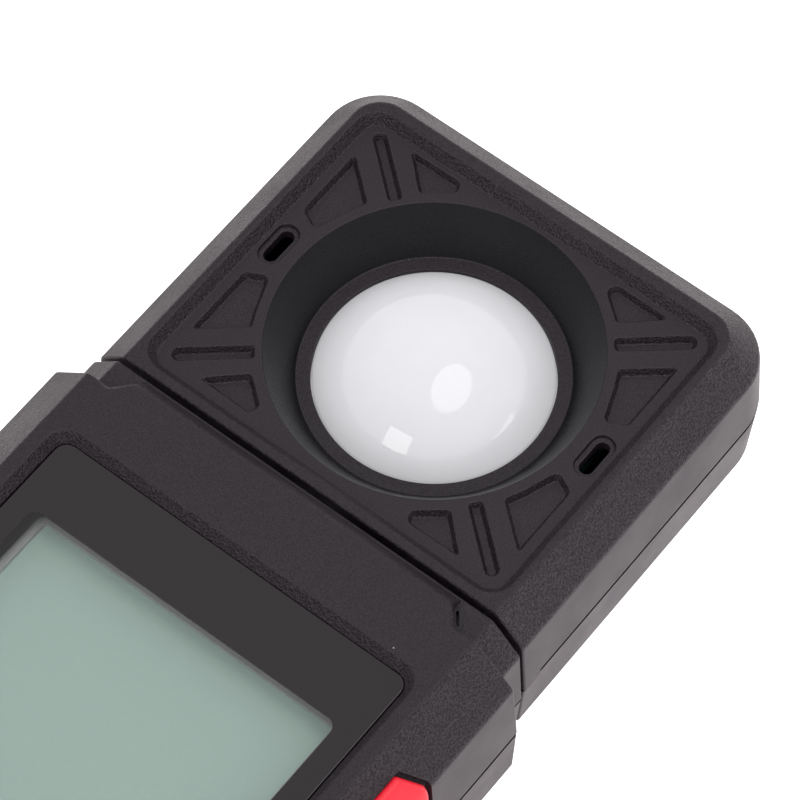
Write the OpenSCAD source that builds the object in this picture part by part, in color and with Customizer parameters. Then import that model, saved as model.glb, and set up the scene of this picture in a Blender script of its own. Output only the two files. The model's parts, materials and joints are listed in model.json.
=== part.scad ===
// Handheld light meter: a sensor head with a domed diffuser that swivels on a display body.
// +Z points out of the display, +Y along the body towards the head, +X to the right.
// The origin is the centre of the tripod socket's mouth in the back face.

/* [Body] */
// Widest width of the body, at the seam between its shells
body_w = 64.4; // [64:0.1:66]
// Height from the back face to the display face
body_t = 28.2; // [28:0.1:29]
// Distance from the tripod socket to the lower end
body_low = 66; // [65:0.5:70]
// Distance from the tripod socket to the shoulder, where the neck begins
shoulder_y = 61.3; // [61:0.1:61.5]
// Plan radius of the lower corners
body_corner_r = 14; // [12:0.5:16]
// How far the shoulder's face leans out at the seam
shoulder_lean = 0.5; // [0.3:0.1:0.5]
// Height of the seam between the body's shells
body_seam_z = 12.5; // [12.3:0.1:12.6]

/* [Head] */
// Widest width of the head, at the seam between its shells
head_w = 59.8; // [59:0.1:60]
// Length of the head from its joint face to its free end
head_len = 48.7; // [48:0.1:50]
// Height of the back of the head above the back of the body
head_back_z = 2; // [1.8:0.1:2.2]
// Height of the face of the head
head_top_z = 26; // [25.9:0.1:26.1]
// Plan radius of the free end's corners
head_corner_r = 7.8; // [7.5:0.1:9]
// Height of the seam between the head's shells
head_seam_z = 13.6; // [13.4:0.1:13.8]

/* [Swivel] */
// Distance from the tripod socket to the head's joint face
joint_y = 66; // [65.9:0.1:66.1]
// Height of the swivel axis
joint_z = 14; // [13.9:0.1:14.1]
// Gap between the neck and the head
swivel_gap = 0.66; // [0.66:0.01:0.7]
// Radius of the spindle where it turns in the bush
spindle_r = 5; // [4.9:0.05:5]
// Radial clearance between the spindle and the bush
spindle_clearance = 0.05; // [0.03:0.01:0.08]

/* [Diffuser] */
// Distance from the joint face to the centre of the dish
dish_offset = 22.47; // [22:0.01:23]
// Radius of the dish at the floor of the face
dish_r = 19; // [18.5:0.1:19.2]
// Radius of the flat ring at the bottom of the dish
ring_r = 15.42; // [15.2:0.01:15.6]
// Height of the flat ring
ring_z = 18.94; // [18.8:0.01:19.1]
// Radius of the dome at its rim
dome_r = 13.65; // [13.4:0.01:13.7]
// Height of the top of the dome
dome_top_z = 25.8; // [25:0.1:26.5]

/* [Display] */
// Width of the display window
window_w = 47.5; // [47:0.1:48]
// Distance from the tripod socket to the lower end of the display window
window_low_y = 5.2; // [5:0.1:5.4]
// Distance from the tripod socket to the upper end of the display window
window_high_y = 53.8; // [53.4:0.1:54]
// Height of the window's outer face
window_z = 27; // [26.8:0.1:27.2]
// Width of the clear opening in the window's border
view_w = 40.6; // [40:0.1:41]
// Distance from the tripod socket to the lower end of the clear opening
view_low_y = 11; // [10.8:0.1:12]
// Distance from the tripod socket to the upper end of the clear opening
view_high_y = 45.8; // [45:0.1:46]

/* [Keys] */
// How far a key travels when it is pressed
key_travel = 0.8; // [0.5:0.1:0.8]
// How far a key stands above the display face
key_proud = 0.9; // [0.6:0.1:1.4]
// Gap round a key
key_gap = 0.25; // [0.2:0.05:0.4]
// Radius of the power key
power_key_r = 7.5; // [6.5:0.5:8]
// Width of an oblong key
oblong_key_w = 16; // [15:0.5:16]
// Length of an oblong key
oblong_key_len = 8.6; // [8:0.1:9]
// Distance of the power key from the tripod socket, negative towards the lower end
power_key_y = -22; // [-23:0.5:-21]
// Distance of the oblong keys from the middle line
key_x = 15; // [14.5:0.5:15.5]
// Distance of the oblong keys above and below the power key
key_dy = 13; // [13:0.5:13.5]

/* [Mounts] */
// Radius of the tripod socket's thread wall, for a quarter inch screw
tripod_r = 2.6; // [2.55:0.05:2.7]
// Depth of the tripod socket
tripod_depth = 7.5; // [6:0.5:8]

/* [Hidden] */
$fn = 96;
wall = 2;
seam_gap = 0.15;
over = 1;
slip = 0.1;
charcoal = [0.235, 0.225, 0.24];
signal_red = [0.9, 0.1, 0.15];

body_half = body_w / 2;
window_y = [window_low_y, window_high_y];
view_y = [view_low_y, view_high_y];
head_half = head_w / 2;
neck_face_y = joint_y - swivel_gap;
dish_y = joint_y + dish_offset;

// Edges are [inset from the full outline, height], from the back up.
body_edge = [[4.3, 0], [0.35, 4], [0, body_seam_z], [0.48, body_t - 5.35], [5.63, body_t]];
body_inner_edge = [[3.3, wall], [1, 4], [0, body_seam_z], [0.48, body_t - 6], [4, body_t - wall]];
head_edge = [[4, head_back_z], [0.6, head_back_z + 2.5], [0, head_seam_z],
    [0.5, head_top_z - 4], [4.2, head_top_z]];
head_inner_edge = [[3.2, head_back_z + wall], [1, head_back_z + 3.6], [0, head_seam_z],
    [0.5, head_top_z - 5.5], [3, head_top_z - 3]];

// Face of the head
face_recess_half = 24.91;
face_recess_y = [1.2, 43.07];
face_floor_z = head_top_z - 1.19;
pocket_depth = 0.85;
pocket_slope = 0.35;
slot_x = 22;

// Window recess in the body
window_half = window_w / 2;
recess_half = window_half + 1.1;
recess_slope = 1;
ledge_z = 25.2;
ledge_t = 1.2;
lcd_frame_half = 21.3;
lcd_frame_y = [9.9, 46.9];
lcd_frame_z = [18.65, 24.2];
lcd_half = 20.2;
lcd_y = [10.9, 46.1];

// Main board and what it holds
board_z = 17;
board_t = 1.6;
board_half = 21.4;
board_y = [-47, 53];
board_screws_at = [[-18.5, 50.4], [18.5, 50.4], [-18.5, -44.5], [18.5, -44.5]];
mat_z = [board_z + board_t, board_z + board_t + 1.6];
key_bottom_z = mat_z[1] + key_travel + 0.05;
key_flange_z = [24.4, body_t - wall - slip];
panel_depth = 0.6;
panel_y = [-47.5, 1];

// Battery compartment, open at the back and closed by a door that slides off
cell_r = 5.2;
cell_len = 43.3;
button_len = 1.1;
contact_t = 0.4;
cell_x = 11;
cell_z = 8.2;
bay_half = 17.2;
bay_y = [-60.4, -11.2];
bay_top_z = 14;
door_half = 18.6;
door_y = -9;
door_t = 1.8;
door_rib = 0.9;

// Side grips
grip_inner_x = 28.9;
grip_y = [-38, 46.6];
grip_low_z = 13.6;
grip_proud = 0.35;
grip_sunk = 0.9;
grip_chamfer = 1.9;
groove_pitch = 5.4;
groove_w = 1.3;

// Screws
body_screws_at = [[-24.6, 51.6], [24.6, 51.6], [-24.6, -44], [24.6, -44]];
head_screws_at = [[-23.4, joint_y + 5.4], [23.4, joint_y + 5.4],
    [-22.6, joint_y + 41.4], [22.6, joint_y + 41.4]];
sensor_screws_at = [for (a = [45:90:315]) [19.2 * cos(a), 19.2 * sin(a)]];

// Swivel stack, along Y from the neck
bush_in_y = 58.5;
bush_floor_y = 60.7;
bush_flange_r = 8.9;
bush_half = 6.5;
spindle_bore_r = 3;
spindle_in_y = 54.4;
collar_half = 5.7;
circlip_y = 55.6;
circlip_t = 0.7;
stop_pin_r = 0.75;
stop_pin_y = 59.6;
stop_lug_half_angle = 37;
swivel_min = -90;
swivel_max = 180;
stop_pin_angle = 90;

// Sensor stack, from the ledge under the ring down
ring_t = 1.2;
flange_r = 15.3;
flange_z = [16.54, ring_z - ring_t - 0.04];
holder_top_z = 15.7;
holder_disc_z = 14.3;
holder_skirt_r = 9.6;
sensor_board_top = 11;
sensor_board_t = 1.6;

// ---- Shapes used more than once ----

function reversed(list) = [for (i = [len(list) - 1:-1:0]) list[i]];

// A rounded rectangle in plan whose outline steps in with height, as its edge list says
module rounded_prism(half_w, ends, corner_r, edge) {
    mid_x = half_w - corner_r;
    low = ends[0] + corner_r;
    high = ends[1] - corner_r;
    bottom = edge[0][1];
    top = edge[len(edge) - 1][1];
    sides = [for (p = edge) [half_w - p[0], p[1]]];
    caps = [for (p = edge) [ends[1] - p[0], p[1]]];
    far_caps = [for (p = reversed(edge)) [ends[0] + p[0], p[1]]];
    translate([0, high, 0]) rotate([90, 0, 0]) linear_extrude(high - low)
        polygon(concat(sides, [for (p = reversed(sides)) [-p[0], p[1]]]));
    translate([-mid_x, 0, 0]) rotate([90, 0, 90]) linear_extrude(2 * mid_x)
        polygon(concat(caps, far_caps));
    for (x = [-mid_x, mid_x], y = [low, high]) translate([x, y, 0]) rotate_extrude()
        polygon(concat([[0, bottom]], [for (p = edge) [corner_r - p[0], p[1]]], [[0, top]]));
}

// A straight-sided rounded rectangle between two heights
module rounded_slab(half_w, ends, corner_r, z) {
    rounded_prism(half_w, ends, corner_r, [[0, z[0]], [0, z[1]]]);
}

// A block from its low corner to its high corner
module block(low, high) {
    translate(low) cube(high - low);
}

// A cylinder along Y on the swivel axis
module on_axis(r, y) {
    translate([0, y[1], joint_z]) rotate([90, 0, 0]) cylinder(r = r, h = y[1] - y[0]);
}

// A square collar on the swivel axis
module square_on_axis(half, y) {
    block([-half, y[0], joint_z - half], [half, y[1], joint_z + half]);
}

// A slot with round ends, along Y
module slot(half_w, half_len, z) {
    rounded_slab(half_w, [-half_len, half_len], half_w - 0.001, z);
}

// Corners of an outline, each turned into an arc of its own radius; each corner is [x, y, r]
function arc_corner(a, b, c, steps) =
    let (u = (a - b) / norm(a - b), v = (c - b) / norm(c - b),
        half = acos(u * v) / 2, centre = b + (u + v) / norm(u + v) * (c.z / sin(half)),
        from = b + u * (c.z / tan(half)) - centre, to = b + v * (c.z / tan(half)) - centre,
        a0 = atan2(from.y, from.x), turn = atan2(from.x * to.y - from.y * to.x, from * to))
    [for (i = [0:steps]) centre + c.z * [cos(a0 + turn * i / steps), sin(a0 + turn * i / steps)]];
function flat(p) = [p.x, p.y];
function rounded_outline(pts, steps = 5) = [for (i = [0:len(pts) - 1])
    let (a = flat(pts[(i + len(pts) - 1) % len(pts)]), b = flat(pts[i]),
        n = flat(pts[(i + 1) % len(pts)]))
    each arc_corner(a, b, [n.x, n.y, pts[i].z], steps)];

// Corners, in counter-clockwise order, with every side moved in by d
function inset_corners(pts, d) = [for (i = [0:len(pts) - 1])
    let (a = flat(pts[(i + len(pts) - 1) % len(pts)]), b = flat(pts[i]),
        c = flat(pts[(i + 1) % len(pts)]), u = (b - a) / norm(b - a), v = (c - b) / norm(c - b),
        in_u = [-u.y, u.x], in_v = [-v.y, v.x], p = b + (in_u + in_v) * d / (1 + in_u * in_v))
    [p.x, p.y, max(pts[i].z - d, 0.1)]];

// The space of a shallow pocket in the face of the head, whose walls slope in to its floor
module sunk_shape(corners) {
    mouth = rounded_outline(corners);
    foot = rounded_outline(inset_corners(corners, pocket_slope));
    n = len(mouth);
    rings = [for (p = foot) [p.x, p.y, face_floor_z - pocket_depth],
        for (p = mouth) [p.x, p.y, face_floor_z], for (p = mouth) [p.x, p.y, face_floor_z + over]];
    polyhedron(rings, concat([[for (i = [0:n - 1]) i]], [[for (i = [n - 1:-1:0]) 2 * n + i]],
        [for (k = [0:1], i = [0:n - 1]) let (j = (i + 1) % n)
            [k * n + i, (k + 1) * n + i, (k + 1) * n + j, k * n + j]]));
}

// A pan-head screw standing on its tip side: the head is below z = 0 and the shank above
module screw(head_r, head_h, shank_r, shank_len) {
    difference() {
        union() {
            translate([0, 0, -head_h]) cylinder(r = head_r, h = head_h, $fn = 32);
            cylinder(r = shank_r, h = shank_len, $fn = 24);
        }
        for (a = [0, 90]) rotate(a) translate([-head_r * 0.65, -0.22, -head_h - over])
            cube([head_r * 1.3, 0.44, over + head_h * 0.55]);
    }
}

// ---- Head ----

module head_block() {
    intersection() {
        translate([0, joint_y, 0])
            rounded_prism(head_half, [-30, head_len], head_corner_r, head_edge);
        block([-50, joint_y, -over], [50, joint_y + 60, 50]);
    }
}

module head_cavity() {
    intersection() {
        translate([0, joint_y, 0]) rounded_prism(head_half - wall, [-30, head_len - wall],
            head_corner_r - wall, head_inner_edge);
        block([-50, joint_y + wall, -over], [50, joint_y + 60, 50]);
    }
}

// Everything below the head's seam moved up by lift; near the joint the seam runs a step lower
module below_head_seam(lift) {
    step_y = joint_y + 2.8;
    block([-50, step_y, -over], [50, joint_y + 60, head_seam_z + lift]);
    block([-50, joint_y - over, -over], [50, step_y + 0.01, body_seam_z + lift]);
}

// The locating lip between the two shells of the head, as a ring between two insets
module head_lip(outer, inner, z) {
    intersection() {
        translate([0, joint_y, 0]) difference() {
            rounded_slab(head_half - outer, [-30, head_len - outer], head_corner_r - outer, z);
            rounded_slab(head_half - inner, [-30, head_len - inner], head_corner_r - inner,
                [z[0] - over, z[1] + over]);
        }
        block([-50, joint_y + 4, -over], [50, joint_y + 60, 50]);
    }
}

// One quarter's three shallow pockets in the face, measured from the centre of the dish
module face_pockets() {
    end_pocket = [[10.9, 19, 0.9], [10.4, 17.6, 0.9], [13.8, 14.9, 0.6], [18.1, 18.9, 0.25]];
    side_pocket = [[22.7, 14.6, 0.25], [17.5, 10.3, 0.6], [18.5, 8.2, 3], [20.1, 3.9, 0.8],
        [22.7, 5.2, 0.9]];
    bar = [[-4.6, -0.85, 0.5], [4.6, -0.85, 0.84], [4.6, 0.85, 0.84], [-4.6, 0.85, 0.5]];
    sunk_shape(end_pocket);
    sunk_shape(side_pocket);
    translate([18.8, 15.5, 0]) rotate(40) sunk_shape(bar);
}

module head_front_shell() {
    dish_wall = 1.8;
    color(charcoal) difference() {
        union() {
            difference() {
                head_block();
                head_cavity();
                below_head_seam(seam_gap / 2);
                head_lip(0.95, 2.6, [head_seam_z - over, head_seam_z + 1.6]);
            }
            translate([0, dish_y, 0]) {
                translate([0, 0, ring_z - ring_t])
                    cylinder(r1 = ring_r + dish_wall, r2 = dish_r + dish_wall,
                        h = face_floor_z - ring_z + ring_t - 0.3);
                for (p = sensor_screws_at) translate([p.x, p.y, sensor_board_top + 0.04])
                    cylinder(r = 2.4, h = 11);
            }
            for (p = head_screws_at) translate([p.x, p.y, head_seam_z + 0.2])
                cylinder(r = 2.7, h = 10);
        }
        // recessed face
        translate([0, joint_y, 0]) rounded_prism(face_recess_half, face_recess_y, 3,
            [[1, face_floor_z], [0, head_top_z], [0, head_top_z + over]]);
        // dish, and the hole the dome stands in
        translate([0, dish_y, 0]) {
            translate([0, 0, ring_z]) cylinder(r1 = ring_r, r2 = dish_r, h = face_floor_z - ring_z);
            cylinder(r = dome_r + 0.25, h = ring_z + over);
            for (mx = [0, 1], my = [0, 1]) mirror([mx, 0, 0]) mirror([0, my, 0]) face_pockets();
            for (x = [-slot_x, slot_x]) translate([x, 0, 0]) {
                slot(1.45, 2.9, [face_floor_z - 0.55, face_floor_z + over]);
                slot(0.85, 2.25, [10, face_floor_z + over]);
            }
            for (p = sensor_screws_at) translate([p.x, p.y, sensor_board_top])
                cylinder(r = 0.8, h = 6, $fn = 24);
        }
        for (p = head_screws_at) translate([p.x, p.y, head_seam_z])
            cylinder(r = 1, h = 8, $fn = 24);
        square_on_axis(collar_half + slip / 2, [joint_y - over, joint_y + wall + over]);
    }
}

module head_rear_shell() {
    color(charcoal) difference() {
        union() {
            intersection() {
                difference() {
                    head_block();
                    head_cavity();
                }
                below_head_seam(-seam_gap / 2);
            }
            head_lip(1.05, 2.2, [head_seam_z - 2, head_seam_z + 1.4]);
            for (p = head_screws_at) translate([p.x, p.y, head_back_z + over])
                cylinder(r = 3.2, h = head_seam_z - head_back_z - over - 0.1);
        }
        for (p = head_screws_at) translate([p.x, p.y, 0]) {
            cylinder(r = 1.3, h = head_seam_z + 3, $fn = 24);
            cylinder(r = 2.4, h = head_back_z + 4, $fn = 32);
        }
        square_on_axis(collar_half + slip / 2, [joint_y - over, joint_y + wall + over]);
    }
}

module head_screws() {
    color("dimgray") for (p = head_screws_at) translate([p.x, p.y, head_back_z + 4])
        screw(2.1, 1.5, 0.95, 12);
}

module diffuser_dome() {
    rise = dome_top_z - ring_z + 0.34;
    ball_r = (pow(dome_r, 2) + pow(rise, 2)) / (2 * rise);
    skin = 1.4;
    color("white") translate([0, dish_y, 0]) {
        difference() {
            translate([0, 0, dome_top_z - ball_r]) sphere(r = ball_r, $fn = 180);
            translate([0, 0, dome_top_z - ball_r]) sphere(r = ball_r - skin, $fn = 180);
            translate([-30, -30, dome_top_z - rise - 60]) cube([60, 60, 60]);
        }
        difference() {
            union() {
                translate([0, 0, flange_z[0]])
                    cylinder(r = dome_r, h = dome_top_z - rise - flange_z[0]);
                translate([0, 0, flange_z[0]])
                    cylinder(r = flange_r, h = flange_z[1] - flange_z[0]);
            }
            translate([0, 0, flange_z[0] - over]) cylinder(r = dome_r - 1.8, h = 10);
        }
    }
}

module dome_gasket() {
    color("dimgray") translate([0, dish_y, holder_top_z + 0.02]) difference() {
        cylinder(r = 15.2, h = flange_z[0] - holder_top_z - 0.04);
        translate([0, 0, -over]) cylinder(r = 13, h = 4);
    }
}

module filter_holder() {
    color([0.12, 0.12, 0.13]) translate([0, dish_y, 0]) difference() {
        union() {
            translate([0, 0, holder_disc_z]) cylinder(r = 15.4, h = holder_top_z - holder_disc_z);
            translate([0, 0, sensor_board_top + 0.02])
                cylinder(r = holder_skirt_r, h = holder_disc_z - sensor_board_top);
        }
        cylinder(r = 5.4, h = 30);
        cylinder(r = 6.3, h = holder_disc_z + 0.2);
    }
}

module correction_filter() {
    color("darkgreen") translate([0, dish_y, holder_disc_z - 1.2]) cylinder(r = 6.2, h = 1.38);
}

module photodiode() {
    color("gainsboro") translate([0, dish_y, sensor_board_top + 0.02]) {
        translate([-3.9, -3.9, 0]) cube([7.8, 7.8, 1.2]);
        translate([-2.6, -2.6, 1.2]) cube([5.2, 5.2, 0.35]);
    }
}

module sensor_board() {
    color("darkgreen") difference() {
        union() {
            block([-18, joint_y + 4.6, sensor_board_top - sensor_board_t],
                [18, joint_y + 40.4, sensor_board_top]);
            // socket for the cable
            block([-3.2, joint_y + 5, sensor_board_top - 0.1], [3.2, joint_y + 6.9, joint_z + 1.9]);
        }
        for (p = sensor_screws_at) translate([p.x, dish_y + p.y, 0])
            cylinder(r = 1.1, h = 20, $fn = 24);
    }
}

module sensor_board_screws() {
    color("silver") for (p = sensor_screws_at)
        translate([p.x, dish_y + p.y, sensor_board_top - sensor_board_t - 0.02])
            screw(1.9, 1.2, 0.75, 6.5);
}

// ---- Swivel ----

module swivel_spindle() {
    color("silver") difference() {
        union() {
            on_axis(spindle_r, [spindle_in_y, joint_y - 0.05]);
            on_axis(8, [joint_y - 0.32, joint_y - 0.04]);
            square_on_axis(collar_half, [joint_y - 0.1, joint_y + wall + 0.1]);
            on_axis(7.6, [joint_y + wall + 0.04, joint_y + wall + 0.94]);
        }
        on_axis(spindle_bore_r, [0, 90]);
        difference() {
            on_axis(spindle_r + over, [circlip_y, circlip_y + circlip_t + 0.1]);
            on_axis(spindle_r - 0.6, [0, 90]);
        }
        translate([0, stop_pin_y, joint_z]) rotate([0, stop_pin_angle, 0])
            cylinder(r = stop_pin_r + 0.01, h = 9, $fn = 24);
    }
}

module stop_pin() {
    color("silver") translate([0, stop_pin_y, joint_z]) rotate([0, stop_pin_angle, 0])
        translate([0, 0, spindle_bore_r + 0.2]) cylinder(r = stop_pin_r, h = 3.6, $fn = 24);
}

module swivel_bush() {
    lug_middle = stop_pin_angle + (swivel_min + swivel_max) / 2 + 180;
    color("ivory") {
        difference() {
            union() {
                on_axis(bush_flange_r, [bush_in_y, neck_face_y - wall - 0.04]);
                square_on_axis(bush_half, [neck_face_y - wall - 0.1, neck_face_y + 0.1]);
                on_axis(bush_flange_r, [neck_face_y + 0.03, neck_face_y + 0.28]);
            }
            on_axis(spindle_r + spindle_clearance, [0, 90]);
            on_axis(7.4, [bush_in_y - over, bush_floor_y]);
        }
        // stop lug, a sector of the recess that the pin can't pass
        intersection() {
            difference() {
                on_axis(7.5, [bush_in_y, bush_floor_y + 0.1]);
                on_axis(spindle_r + 0.4, [0, 90]);
            }
            translate([0, bush_floor_y + over, joint_z]) rotate([0, lug_middle, 0])
                rotate([90, 0, 0]) linear_extrude(5) polygon([[0, 0],
                    [12 * sin(-stop_lug_half_angle), 12 * cos(stop_lug_half_angle)],
                    [12 * sin(stop_lug_half_angle), 12 * cos(stop_lug_half_angle)]]);
        }
    }
}

module spring_washer() {
    cone_low = circlip_y + circlip_t + 0.06;
    color("silver") translate([0, cone_low, joint_z]) rotate([-90, 0, 0]) rotate_extrude()
        polygon([[5.15, 0], [5.15, 0.4], [8.6, bush_in_y - cone_low - 0.05],
            [8.6, bush_in_y - cone_low - 0.45]]);
}

module spindle_circlip() {
    color("gray") difference() {
        on_axis(7, [circlip_y + 0.04, circlip_y + circlip_t]);
        on_axis(spindle_r - 0.56, [0, 90]);
        block([-1.6, 50, 0], [1.6, 60, joint_z]);
    }
}

module sensor_cable() {
    color("dimgray") on_axis(1.6, [spindle_in_y - 0.8, joint_y + 4.95]);
}

module board_cable() {
    color("dimgray") {
        on_axis(1.6, [46.6, spindle_in_y - 1.2]);
        block([-4, 42, board_z - 5], [4, 46.8, board_z - 0.02]);
    }
}

// ---- Body ----

// The body's outer form, cut off at the shoulder by a face that leans out towards the seam
module body_block() {
    intersection() {
        rounded_prism(body_half, [-body_low, 90], body_corner_r, body_edge);
        translate([-body_half - over, 0, 0]) rotate([90, 0, 90]) linear_extrude(body_w + 2 * over)
            polygon([[-90, -over], [shoulder_y + shoulder_lean, -over],
                [shoulder_y + shoulder_lean, body_seam_z], [shoulder_y, head_top_z],
                [shoulder_y, 50], [-90, 50]]);
    }
}

// A length of the head's section, from a low to a high Y
module head_section(half_w, edge, ends) {
    sides = [for (p = edge) [half_w - p[0], p[1]]];
    translate([0, ends[1], 0]) rotate([90, 0, 0]) linear_extrude(ends[1] - ends[0])
        polygon(concat(sides, [for (p = reversed(sides)) [-p[0], p[1]]]));
}

// The neck has the head's own section, slightly fuller
module neck_block() {
    head_section(head_half + 0.2, head_edge, [shoulder_y - 4, neck_face_y]);
}

// The display face runs on over the neck and ramps down to the joint between two chamfers
module neck_ramp() {
    ramp_foot = head_top_z;
    intersection() {
        translate([0, 0, ramp_foot - over]) linear_extrude(body_t - ramp_foot + over)
            polygon([[-23.7, shoulder_y - 2], [23.7, shoulder_y - 2], [23.7, shoulder_y + 0.2],
                [21.9, shoulder_y + 2], [21.3, neck_face_y], [-21.3, neck_face_y],
                [-21.9, shoulder_y + 2], [-23.7, shoulder_y + 0.2]]);
        translate([-30, 0, 0]) rotate([90, 0, 90]) linear_extrude(60)
            polygon([[shoulder_y - 3, ramp_foot - over], [neck_face_y, ramp_foot - over],
                [neck_face_y, ramp_foot], [shoulder_y + 2.2, body_t], [shoulder_y - 3, body_t]]);
    }
}

module body_cavity() {
    intersection() {
        rounded_prism(body_half - wall, [-body_low + wall, 90], body_corner_r - wall,
            body_inner_edge);
        block([-50, -90, 0], [50, shoulder_y - wall, 50]);
    }
    head_section(head_half + 0.2 - wall, head_inner_edge,
        [shoulder_y - wall - over, neck_face_y - wall]);
}

module body_lip(outer, inner, z) {
    difference() {
        rounded_slab(body_half - outer, [-body_low + outer, 90], body_corner_r - outer, z);
        rounded_slab(body_half - inner, [-body_low + inner, 90], body_corner_r - inner,
            [z[0] - over, z[1] + over]);
        block([-50, shoulder_y - wall - 2, -over], [50, 100, 50]);
    }
}

module oblong_slab(margin, z) {
    half = [oblong_key_w / 2 + margin, oblong_key_len / 2 + margin];
    rounded_slab(half.x, [-half.y, half.y], 2.6 + margin, z);
}

// The line a side grip follows down the bevel and the side, moved out by out
function grip_line(out) = [
    [grip_inner_x + 0.72 * out, bevel_z(grip_inner_x) + 0.69 * out],
    [body_half - 0.48 + out, body_t - 5.35 + 0.4 * out],
    [body_half - 0.05 + out, grip_low_z]];
function bevel_z(x) = body_t - (x - (body_half - 5.63)) * 5.35 / 5.15;

// A side grip between two depths, with a gap round its ends; its upper corners are cut off
module grip_solid(inner, outer, gap) {
    ends = [grip_y[0] - gap, grip_y[1] + gap];
    corner = grip_inner_x + 2.4;
    intersection() {
        translate([0, ends[1] + over, 0]) rotate([90, 0, 0])
            linear_extrude(ends[1] - ends[0] + 2 * over)
                polygon(concat(grip_line(outer), reversed(grip_line(inner))));
        linear_extrude(40) polygon([[20, ends[0] + grip_chamfer],
            [grip_inner_x, ends[0] + grip_chamfer], [corner, ends[0]], [body_half + 5, ends[0]],
            [body_half + 5, ends[1]], [corner, ends[1]],
            [grip_inner_x, ends[1] - grip_chamfer], [20, ends[1] - grip_chamfer]]);
    }
}

module body_front_shell() {
    color(charcoal) difference() {
        union() {
            difference() {
                union() {
                    body_block();
                    neck_block();
                    neck_ramp();
                }
                body_cavity();
                block([-50, -90, -over], [50, 90, body_seam_z + seam_gap / 2]);
                body_lip(0.95, 2.6, [body_seam_z - over, body_seam_z + 1]);
            }
            rounded_slab(window_half + 2.2, [window_y[0] - 2.6, window_y[1] + 2.4], 3,
                [ledge_z - ledge_t, body_t - 1.5]);
            for (p = body_screws_at) translate([p.x, p.y, body_seam_z + 0.2])
                cylinder(r = 3, h = p.y > 0 ? 11.9 : 14.5);
            for (p = board_screws_at) translate([p.x, p.y, board_z + board_t + 0.03])
                cylinder(r = 2.3, h = p.y > 0 ? 5.6 : 8);
        }
        // window recess with sloping walls, the seat of the window, and the opening below it
        rounded_prism(recess_half, [window_y[0] - 1.1, window_y[1] + 1], 2.7,
            [[recess_slope, window_z], [0, body_t], [0, body_t + over]]);
        rounded_slab(window_half + slip, window_y + [-slip, slip], 1.7, [ledge_z, window_z + slip]);
        rounded_slab(lcd_frame_half + 0.2, lcd_frame_y + [-0.2, 0.2], 1, [15, ledge_z + slip]);
        // keypad panel and key holes
        rounded_slab(recess_half, panel_y, 6, [body_t - panel_depth, body_t + over]);
        translate([0, power_key_y, 20]) cylinder(r = power_key_r + key_gap, h = 10);
        for (x = [-key_x, key_x], y = [-key_dy, key_dy]) translate([x, power_key_y + y, 0])
            oblong_slab(key_gap, [22, 30]);
        for (side = [0, 1]) mirror([side, 0, 0]) grip_solid(-grip_sunk, 3, 0.6);
        for (p = body_screws_at) translate([p.x, p.y, body_seam_z]) cylinder(r = 1.1, h = 10, $fn = 24);
        for (p = board_screws_at) translate([p.x, p.y, board_z]) cylinder(r = 0.8, h = 6.2, $fn = 24);
        square_on_axis(bush_half + slip / 2, [neck_face_y - wall - over, neck_face_y + over]);
    }
}

module door_slab(margin) {
    // plate, with ribs on both sides that run in grooves
    block([-door_half - margin, -body_low - over, -over],
        [door_half + margin, door_y + margin, door_t + margin]);
    block([-door_half - door_rib - margin, -body_low - over, 0.9 - margin],
        [door_half + door_rib + margin, door_y + margin, door_t + margin]);
}

module body_rear_shell() {
    color(charcoal) difference() {
        union() {
            difference() {
                union() {
                    body_block();
                    neck_block();
                }
                body_cavity();
                block([-50, -90, body_seam_z - seam_gap / 2], [50, 90, 50]);
            }
            body_lip(1.05, 2.2, [body_seam_z - 2, body_seam_z + 0.8]);
            // battery compartment
            block([-door_half - 2.2, bay_y[0] - 1.4, 1], [door_half + 2.2, door_y + 1.6, 3.6]);
            block([-bay_half - 1.4, bay_y[0] - 1.4, 1], [bay_half + 1.4, bay_y[1] + 1.4, bay_top_z + 1.2]);
            for (p = body_screws_at) translate([p.x, p.y, over]) cylinder(r = 3.6, h = body_seam_z - 1.1);
            // boss for the tripod insert
            translate([0, 0, over]) cylinder(r = 7, h = tripod_depth + 3);
        }
        block([-bay_half, bay_y[0], door_t], [bay_half, bay_y[1], bay_top_z]);
        door_slab(slip);
        for (p = body_screws_at) translate([p.x, p.y, -over]) {
            cylinder(r = 1.4, h = 30, $fn = 24);
            cylinder(r = 2.7, h = 5.2, $fn = 32);
        }
        translate([0, 0, -over]) cylinder(r = 5, h = tripod_depth + 1.5 + over);
        square_on_axis(bush_half + slip / 2, [neck_face_y - wall - over, neck_face_y + over]);
    }
}

module battery_door() {
    color(charcoal) difference() {
        intersection() {
            union() {
                block([-door_half, -90, -over], [door_half, door_y, door_t]);
                block([-door_half - door_rib, -90, 1], [door_half + door_rib, door_y, door_t]);
            }
            body_block();
        }
        // thumb ridges
        for (i = [0:6]) block([-9, door_y - 5 - i * 1.8, -over], [9, door_y - 4.1 - i * 1.8, 0.45]);
    }
}

module housing_screws() {
    color("dimgray") for (p = body_screws_at) translate([p.x, p.y, 4.2 - 0.02])
        screw(2.4, 1.8, 1.05, 14);
}

module tripod_insert() {
    color("goldenrod") difference() {
        cylinder(r = 4.95, h = tripod_depth + 1.4);
        translate([0, 0, -over]) cylinder(r = tripod_r, h = tripod_depth + over);
        for (z = [2.4, 5.2]) translate([0, 0, z]) difference() {
            cylinder(r = 6, h = 0.8);
            cylinder(r = 4.6, h = 0.8);
        }
    }
}

module side_grip_right() {
    color(signal_red) difference() {
        grip_solid(-grip_sunk, grip_proud, 0);
        for (y = [grip_y[0] + 6:groove_pitch:grip_y[1] - 5]) intersection() {
            grip_solid(-0.2, 3, 0);
            block([25, y, grip_low_z + 2], [40, y + groove_w, 30]);
        }
    }
}

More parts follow.
